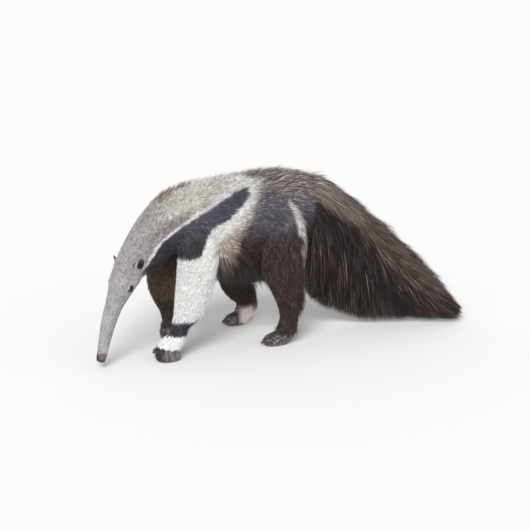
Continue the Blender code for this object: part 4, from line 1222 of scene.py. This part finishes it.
PALE_TIPS = 0.45
GRIZZLE = (0.36, 0.30, 0.27)
GRIZZLE_SHARE = 0.32
CLUMP_VALUES = 4093
COAT_CLUMP = 0.006
TAIL_CLUMP = 0.007
TAIL_HANG_Y = (0.360, 0.417, 0.468, 0.520, 0.620, 0.720)
TAIL_HANG_Z = (0.205, 0.168, 0.108, 0.074, 0.030, 0.000)


def fleck_of(colours):
    """How much the tufts of these colours differ in brightness, read from the nearest named colour."""
    named = np.array([colour for colour, _ in FLECK])
    amounts = np.array([amount for _, amount in FLECK])
    distance = ((np.log(colours[:, None, :]) - np.log(named)) ** 2).sum(axis=2) + 0.02
    weight = 1 / distance**2
    return (amounts * weight).sum(axis=1) / weight.sum(axis=1)


def clumps(places, size, draw):
    """A random value that tufts close together share."""
    cells = np.floor(places / size).astype(np.int64) @ np.array((7919, 104729, 1299709))
    return draw.normal(size=CLUMP_VALUES)[cells % CLUMP_VALUES]


def shaded(colours, places, draw):
    """Colours at root, middle and tip, lighter and darker from tuft to tuft, dark ones darkest at the root."""
    spread = fleck_of(colours)
    light = spread * (0.8 * draw.normal(size=len(colours)) + 0.6 * clumps(places, COAT_CLUMP, draw))
    light = np.exp(light - spread**2 / 2)[:, None]
    warm = 1 + draw.normal(size=(len(colours), 1)) * np.array((0.02, 0.0, -0.03))
    whole = colours * light * warm
    bright = colours.mean(axis=1, keepdims=True)
    pale_tip = (draw.uniform(size=(len(colours), 1)) < spread[:, None] * PALE_TIPS) & (bright < 0.55)
    tip = np.where(pale_tip, 1.15 + 0.45 * (1 - bright), 1.12 - 0.12 * bright)
    middle = np.where(pale_tip, 0.92, 1.0)
    tips = whole * tip
    tips = np.where(pale_tip, tips + (np.array(GRIZZLE) - tips) * GRIZZLE_SHARE, tips)
    return [np.clip(shade, 0.003, 0.95) for shade in (whole * (0.55 + 0.40 * bright), whole * middle, tips)]


def body_tufts(surface, draw):
    """The coat of head, body and legs, rooted all over the skin."""
    p = surface.points - CHEST
    sizes = tuft_sizes(p, surface.normals, surface.guide)
    spacing = sizes[0][surface.triangles].mean(axis=1)
    density = np.where(spacing > 0.1, 0.0, 1 / spacing**2)
    root, normal, lie, uv, nearest = surface.scatter(density, draw)
    length, width, lift, hang = (size[nearest] for size in sizes[1:])
    gap = np.full(len(root), np.inf)
    for sign in (1, -1):
        centre, *_ = eye_place(sign)
        gap = np.minimum(gap, np.linalg.norm(root - centre, axis=1))
    kept = gap > 0.0160
    root, normal, lie, uv, nearest = (values[kept] for values in (root, normal, lie, uv, nearest))
    length, width, lift, hang = (size[kept] for size in (length, width, lift, hang))
    down = -UP + normal * normal[:, 2:3]
    aside = np.cross(normal, lie)
    sway = ripple(root, 0.06, 21) * 0.10 + ripple(root, 0.018, 22) * 0.12 + draw.normal(size=len(root)) * 0.16
    sway = sway[:, None]
    ahead = unit(lie + aside * sway + down * (hang * 0.5)[:, None])
    reach = length * np.exp(draw.normal(size=len(root)) * 0.16) * (1 + 0.14 * ripple(root, 0.022, 23))
    rise = lift * np.exp(np.minimum(draw.normal(size=len(root)) * 0.26, 0.45)) * (1 + 0.25 * ripple(root, 0.02, 24))
    bend = root + ahead * (reach * 0.48)[:, None] + normal * (rise * 0.85)[:, None]
    tip = root + ahead * reach[:, None] + normal * rise[:, None] - UP * (reach * hang * 0.35)[:, None]
    tip[:, 2] = np.maximum(tip[:, 2], 0.003)
    seen = root * 0.45 + tip * 0.55
    colours = shaded(coat_colour(seen, normal, surface.guide.at(nearest)), root, draw)
    root = root - normal * np.minimum(ROOT_DEPTH, length * 0.2)[:, None]
    wide = width * draw.uniform(0.8, 1.25, len(root))
    return Tufts(root, bend, tip, normal, wide, colours, uv), surface.guide.part[nearest]


# Tail: where each tuft's tip lies against its root. Angle round the tail (0 is its side, 90 its top),
# how far on along the tail the tip lies, and how far round it has dropped
TAIL_HAIR = ((-90, 0.004, 0), (-58, 0.006, 26), (-25, 0.016, 42), (10, 0.044, 34), (50, 0.076, 15), (90, 0.090, 0))
TAIL_LENGTH = 0.62
TAIL_TUFTS = 34000
TAIL_RINGS_READ = 90
TAIL_SPREAD = 1.0
BONE_LINE = ((0.500, 0.580), (0.538, 0.555), (0.606, 0.480), (0.685, 0.385), (0.795, 0.270), (0.930, 0.125))
BONE_LINE_WIDTH = (0.016, 0.020, 0.026, 0.044, 0.046, 0.030)
SHADE_LINE = ((0.484, 0.434), (0.563, 0.359), (0.628, 0.281), (0.671, 0.227), (0.714, 0.177), (0.836, 0.092))
SHADE_LINE_WIDTH = (0.050, 0.040, 0.030, 0.028, 0.028, 0.024)
CROWN_LINE = ((0.380, 0.605), (0.470, 0.572), (0.555, 0.515), (0.620, 0.462))
CROWN_LINE_WIDTH = (0.038, 0.040, 0.042, 0.028)


def read_rings(rings, share, turn):
    """Points on rings at a share of their length and an angle round them, in degrees."""
    count, sides = rings.shape[:2]
    row = np.clip(share, 0, 1) * (count - 1)
    low = np.minimum(row.astype(int), count - 2)
    rest = (row - low)[:, None]
    column = (turn / 360 * sides) % sides
    left = column.astype(int) % sides
    part = (column - left)[:, None]
    right = (left + 1) % sides
    near = rings[low, left] * (1 - part) + rings[low, right] * part
    far = rings[low + 1, left] * (1 - part) + rings[low + 1, right] * part
    return near * (1 - rest) + far * rest


def tail_colour(side, turn, clump, draw):
    """Colours of the tail's tufts at root, middle and tip."""
    count = len(side)
    up = step(turn, 30, 75)
    under = step(turn, -10, -50)
    crown = stroke(side, CROWN_LINE, CROWN_LINE_WIDTH)
    base = mix(TAIL_DARK, RUMP_BROWN, up * 0.06 + 0.50 * crown)
    shade = stroke(side, SHADE_LINE, SHADE_LINE_WIDTH)
    base = mix(base, TAIL_BLUE, shade * 0.9)
    line = stroke(side, BONE_LINE, BONE_LINE_WIDTH)
    thigh = step(side[:, 0], 0.46, 0.38)
    tan_share = 0.16 + 0.20 * up + 0.52 * line + 0.10 * under + 0.60 * crown + 0.22 * thigh
    tan_share = np.clip(tan_share * (1 - 0.75 * shade), 0.04, 0.88)
    chance = 0.90 * draw.normal(size=count) + 0.42 * clump
    tan = (chance < np.log(tan_share / (1 - tan_share)) / 1.7)[:, None]
    tip = np.where(tan, mix(base, TAIL_TAN, draw.uniform(0.25, 0.85, count)), base)
    middle = np.where(tan, mix(base, TAIL_TAN, draw.uniform(0.05, 0.40, count)), base)
    light = np.exp(draw.normal(size=count) * 0.36 - clump * 0.14)[:, None]
    return [np.clip(colour * light, 0.003, 0.8) for colour in (base * 0.6, middle, tip * 1.1)]


def tail_tufts(draw):
    """The long hair of the tail, from its core out to its hanging edge."""
    core = np.array(tail_rings(TAIL_CORE, TAIL_DEPTH, TAIL_RINGS_READ))
    edge = np.array(tail_rings(TAIL_OUTLINE, (0.006, 0.003), TAIL_RINGS_READ))
    share = draw.beta(1.0, 1.25, TAIL_TUFTS) * 0.97
    turn = draw.uniform(-180, 180, TAIL_TUFTS)
    mirrored = np.where(np.abs(turn) > 90, -1, 1)
    folded = np.where(turn > 90, 180 - turn, np.where(turn < -90, -180 - turn, turn))
    angles, reach, drop = np.array(TAIL_HAIR).T
    on_along = np.interp(folded, angles, reach) * np.exp(draw.normal(size=TAIL_TUFTS) * 0.18)
    dropped = np.interp(folded, angles, drop) * np.exp(draw.normal(size=TAIL_TUFTS) * 0.3)
    tip_share = share + on_along / TAIL_LENGTH
    tip_turn = turn - dropped * mirrored
    root = read_rings(core, share, turn)
    middle_of_core = core.mean(axis=1)
    low = np.clip((share * (TAIL_RINGS_READ - 1)).astype(int), 0, TAIL_RINGS_READ - 1)
    out = unit(root - middle_of_core[low])
    full = np.where(draw.uniform(size=TAIL_TUFTS) < 0.55, draw.uniform(0.92, 1.06, TAIL_TUFTS),
                    draw.uniform(0.30, 0.95, TAIL_TUFTS))
    full *= (1 - 0.06 * np.abs(ripple(root, 0.05, 31))) * (1 + 0.07 * step(folded, 0, -50))
    inner = read_rings(core, tip_share, tip_turn)
    outer = read_rings(edge, tip_share, tip_turn)
    tip = inner + (outer - inner) * full[:, None]
    sway = ripple(root, 0.05, 32) * 0.010 + draw.normal(size=TAIL_TUFTS) * 0.007
    tip[:, 1] += sway
    tip[:, 0] += draw.normal(size=TAIL_TUFTS) * 0.005
    floor = 0.006 + draw.uniform(0, 0.012, TAIL_TUFTS)
    tip[:, 0] += mirrored * np.maximum(floor - tip[:, 2], 0) * TAIL_SPREAD
    tip[:, 2] = np.maximum(tip[:, 2], floor)
    hang = np.interp(tip[:, 1] - CHEST[1], TAIL_HANG_Y, TAIL_HANG_Z)
    tip[:, 2] = np.maximum(tip[:, 2], hang * draw.uniform(0.88, 1.15, TAIL_TUFTS))
    length = np.linalg.norm(tip - root, axis=1)
    bend = root * 0.5 + tip * 0.5 + out * (length * 0.13)[:, None]
    bend[:, 2] = np.maximum(bend[:, 2], 0.012)
    root = root - out * ROOT_DEPTH
    place = (root * 0.4 + tip * 0.6 - CHEST)[:, 1:]
    width = 0.0024 * draw.uniform(0.7, 1.3, TAIL_TUFTS) * np.clip(length / 0.12, 0.6, 1.15)
    clump = clumps(root, TAIL_CLUMP, draw)
    uv = np.stack([0.02 + 0.96 * (turn + 180) / 360, 0.02 + 0.96 * share], axis=1)
    return Tufts(root, bend, tip, out, width, tail_colour(place, folded, clump, draw), uv), turn


# Claws: share across the foot, length, thickness and curl
FORE_CLAWS = ((-1.05, 0.028, 0.0050, 1.2), (-0.60, 0.048, 0.0075, 1.9), (-0.12, 0.056, 0.0090, 2.0),
              (0.36, 0.034, 0.0060, 1.5))
HIND_CLAWS = ((-0.86, 0.020, 0.0042, 0.7), (-0.46, 0.026, 0.0048, 0.7), (0.00, 0.028, 0.0050, 0.7),
              (0.46, 0.026, 0.0048, 0.7), (0.86, 0.020, 0.0042, 0.7))
CLAW_RISE = 0.020
CLAW_RINGS = 22
CLAW_RINGS_SOLID = 10


def make_claw(name, root, ahead, down, length, thickness, curl):
    """A horn that tapers and curls from `ahead` towards `down`, narrower underneath."""
    side = unit(np.cross(ahead, down))
    rings = []
    place = root - ahead * thickness * 1.6
    whole = length * (CLAW_RINGS_SOLID - 1) / (CLAW_RINGS_SOLID - 2)
    for i in range(CLAW_RINGS):
        share = i / (CLAW_RINGS - 1)
        along = ahead * math.cos(curl * share) + down * math.sin(curl * share)
        across = unit(np.cross(along, side))
        size = thickness * (1 - share) ** 0.6 * 0.97 + 0.0003
        turn = np.arange(24) * math.pi / 12
        narrow = 0.78 - 0.16 * np.sin(turn) * np.sign(across @ down)
        rings.append(place + (np.cos(turn) * size * narrow)[:, None] * side + (np.sin(turn) * size)[:, None] * across)
        place = place + along * whole / (CLAW_RINGS - 1)
    piece = grow(name, rings)
    piece.data.shade_smooth()
    return piece


def make_claws():
    """All the claws, fore claws folded in under the knuckles."""
    claws = []
    for side_name, side in (("left", 1), ("right", -1)):
        rows, _ = foot_rows_of(f"foreleg_{side_name}", 10)
        for number, (across, *sizes) in enumerate(FORE_CLAWS, 1):
            aside = across * 0.85
            ahead_share = math.sqrt(1 - aside**2) * 0.93
            root = rows[7][:3] + np.array((aside * rows[7][3] * side, -ahead_share * rows[7][4], CLAW_RISE))
            ahead = unit(((across * 0.45 - 0.35) * side, -0.70, -0.25))
            down = unit((-0.70 * side, 0.75, -0.42))
            claws.append((f"foreclaw_{side_name}_{number}", make_claw("horn", root, ahead, down, *sizes)))
        for number, (across, *sizes) in enumerate(HIND_CLAWS, 1):
            root = toe_root(f"hindleg_{side_name}", across)
            ahead = unit((across * 0.30 * side, -0.95, 0.05))
            claws.append((f"hindclaw_{side_name}_{number}", make_claw("horn", root, ahead, -UP, *sizes)))
    return claws


# Materials
def new_material(name):
    """A material with its Principled shader and a helper to add nodes."""
    material = bpy.data.materials.new(name)
    material.use_nodes = True
    nodes = material.node_tree.nodes
    return material, nodes, material.node_tree.links, nodes["Principled BSDF"]


def add_bump(nodes, links, shader, height, strength, distance):
    node = nodes.new("ShaderNodeBump")
    node.inputs["Strength"].default_value = strength
    node.inputs["Distance"].default_value = distance
    links.new(height, node.inputs["Height"])
    links.new(node.outputs["Normal"], shader.inputs["Normal"])
    return node


def hair_material():
    """Dry coarse hair coloured tuft by tuft."""
    material, nodes, links, shader = new_material("hair")
    colour = nodes.new("ShaderNodeVertexColor")
    colour.layer_name = "coat_colour"
    links.new(colour.outputs["Color"], shader.inputs["Base Color"])
    shader.inputs["Roughness"].default_value = 0.46
    shader.inputs["Specular IOR Level"].default_value = 0.24
    return material


def skin_material():
    """Skin under the hair, with fine wrinkles where it is bare."""
    material, nodes, links, shader = new_material("skin")
    colour = nodes.new("ShaderNodeVertexColor")
    colour.layer_name = "coat_colour"
    place = nodes.new("ShaderNodeTexCoord")
    noise = nodes.new("ShaderNodeTexNoise")
    noise.inputs["Scale"].default_value = 420.0
    noise.inputs["Detail"].default_value = 6.0
    links.new(place.outputs["Object"], noise.inputs["Vector"])
    tone = nodes.new("ShaderNodeMix")
    tone.data_type = "RGBA"
    tone.blend_type = "MULTIPLY"
    tone.inputs["Factor"].default_value = 0.35
    links.new(colour.outputs["Color"], tone.inputs[6])
    links.new(noise.outputs["Color"], tone.inputs[7])
    links.new(tone.outputs[2], shader.inputs["Base Color"])
    shader.inputs["Roughness"].default_value = 0.58
    shader.inputs["Specular IOR Level"].default_value = 0.35
    add_bump(nodes, links, shader, noise.outputs["Fac"], 0.35, 0.0010)
    return material


def horn_material():
    """Worn dark horn with growth lines, mottled darker and paler."""
    material, nodes, links, shader = new_material("horn")
    place = nodes.new("ShaderNodeTexCoord")
    noise = nodes.new("ShaderNodeTexNoise")
    noise.inputs["Scale"].default_value = 240.0
    noise.inputs["Detail"].default_value = 5.0
    links.new(place.outputs["Object"], noise.inputs["Vector"])
    ramp = nodes.new("ShaderNodeValToRGB")
    ramp.color_ramp.elements[0].color = (0.016, 0.013, 0.012, 1)
    ramp.color_ramp.elements[1].color = (0.075, 0.060, 0.052, 1)
    ramp.color_ramp.elements[0].position = 0.30
    ramp.color_ramp.elements[1].position = 0.78
    links.new(noise.outputs["Fac"], ramp.inputs["Fac"])
    links.new(ramp.outputs["Color"], shader.inputs["Base Color"])
    shader.inputs["Roughness"].default_value = 0.42
    add_bump(nodes, links, shader, noise.outputs["Fac"], 0.25, 0.0006)
    return material


def eye_material():
    """A wet eye, very dark brown all over."""
    material, nodes, links, shader = new_material("eye")
    shader.inputs["Base Color"].default_value = (0.010, 0.007, 0.006, 1)
    shader.inputs["Roughness"].default_value = 0.16
    shader.inputs["Specular IOR Level"].default_value = 0.30
    shader.inputs["Coat Weight"].default_value = 0.25
    shader.inputs["Coat Roughness"].default_value = 0.05
    return material


def plain_material(name, colour, roughness):
    material, nodes, links, shader = new_material(name)
    shader.inputs["Base Color"].default_value = (*colour, 1)
    shader.inputs["Roughness"].default_value = roughness
    shader.inputs["Specular IOR Level"].default_value = 0.2
    return material


def unwrap(piece):
    """An even unwrap of the piece's own shape, named for the bake."""
    layer = piece.data.uv_layers.new(name="OFBake")
    piece.data.uv_layers.active = layer
    only(piece)
    bpy.ops.object.mode_set(mode="EDIT")
    bpy.ops.mesh.select_all(action="SELECT")
    bpy.ops.uv.smart_project(angle_limit=math.radians(66), island_margin=0.002)
    bpy.ops.object.mode_set(mode="OBJECT")


def finish_piece(piece, material, slot_name, *nodes):
    """Material, body and the CAD nodes that the piece stands for; `slot_name` is not used."""
    piece.data.materials.clear()
    piece.data.materials.append(material)
    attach(piece, "root")
    if nodes:
        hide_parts(*nodes)


FLESH = ("torso", "neck", "head", "ear_left", "ear_right", "foreleg_left", "foreleg_right", "hindleg_left",
         "hindleg_right", "forefoot_left", "forefoot_right", "hindfoot_left", "hindfoot_right", "tail")

hair = hair_material()
draw = np.random.default_rng(SEED)
skin, form = make_skin()
shape_face(skin, form)
unwrap(skin)
surface = SkinSurface(skin)
# The skin takes the coat's colours darkened to 0.85: painted shade for lying under the hair
skin_colours = surface.colours.copy()
set_colours(skin.data, skin_colours * 0.85)
skin.data.shade_smooth()
finish_piece(skin, skin_material(), "coat", *FLESH)

tufts, parts = body_tufts(surface, draw)
p = tufts.root - CHEST
head = parts == PARTS.index("head")
left = p[:, 0] > 0
on_leg = np.isin(parts, [PARTS.index(name) for name in LEGS] + [PARTS.index(name) for name in FEET]) & (p[:, 2] < 0.36)
front = p[:, 1] < 0.06
torso = ~head & ~on_leg
groups = {
    "coat_head": head,
    "coat_shoulder_left": torso & front & left,
    "coat_shoulder_right": torso & front & ~left,
    "coat_haunch_left": torso & ~front & left,
    "coat_haunch_right": torso & ~front & ~left,
    "coat_forelegs": on_leg & (p[:, 1] < 0.15),
    "coat_hindlegs": on_leg & (p[:, 1] >= 0.15),
}
for name, chosen in groups.items():
    piece = tuft_mesh(name, tufts.part(chosen), (0.0, 0.5), (1.0, 0.85))
    finish_piece(piece, hair, "coat")

tail, turn = tail_tufts(draw)
for name, chosen in (("coat_tail_left", np.abs(turn) < 90), ("coat_tail_right", np.abs(turn) >= 90)):
    piece = tuft_mesh(name, tail.part(chosen), (0.0, 0.55), (0.8, 1.0))
    finish_piece(piece, hair, "coat")

horn = horn_material()
for node, piece in make_claws():
    piece.name = "fine_" + node
    finish_piece(piece, horn, "claw", node)
wet = eye_material()
for side_name, sign in (("left", 1), ("right", -1)):
    centre, radius, ahead, top, out = eye_place(sign)
    eyeball = ball("eyeball_" + side_name, centre, (radius * 0.985,) * 3, (out, ahead, top), 48, 32)
    eyeball.data.shade_smooth()
    finish_piece(eyeball, wet, "eye", "eye_" + side_name)

# Room and camera
bpy.ops.mesh.primitive_plane_add(size=1)
floor = bpy.context.object
floor.name = "floor"
deselect_all()
floor.data.vertices.foreach_set("co", [value * 30 for value in (-1, -1, 0, 1, -1, 0, -1, 1, 0, 1, 1, 0)])
floor.data.materials.append(plain_material("pale_floor", (0.74, 0.74, 0.74), 0.8))
world = bpy.data.worlds.new("studio")
world.use_nodes = True
world.node_tree.nodes["Background"].inputs["Color"].default_value = (0.985, 0.99, 1.0, 1)
world.node_tree.nodes["Background"].inputs["Strength"].default_value = 0.71
bpy.context.scene.world = world
bpy.context.scene.view_settings.view_transform = "Standard"



def soft_sun(name, towards, spread, power, colour):
    """Even light from far away, soft by its spread."""
    bpy.ops.object.light_add(type="SUN", location=(0, 0, 4))
    light = bpy.context.object
    light.name = name
    light.rotation_euler = Vector(towards).to_track_quat("-Z", "Y").to_euler()
    light.data.angle = math.radians(spread)
    light.data.energy = power
    light.data.color = colour


soft_sun("window", (-0.62, 0.44, -0.66), 30, 3.0, (1.0, 0.99, 0.975))

back = Vector((math.sin(CAMERA_AZIMUTH) * math.cos(CAMERA_ELEVATION),
               -math.cos(CAMERA_AZIMUTH) * math.cos(CAMERA_ELEVATION), math.sin(CAMERA_ELEVATION)))
bpy.ops.object.camera_add(location=CAMERA_TARGET + back * CAMERA_DISTANCE,
                          rotation=back.to_track_quat("Z", "Y").to_euler())
camera = bpy.context.object
camera.data.lens = CAMERA_LENS
camera.data.sensor_width = CAMERA_SENSOR
bpy.context.scene.camera = camera
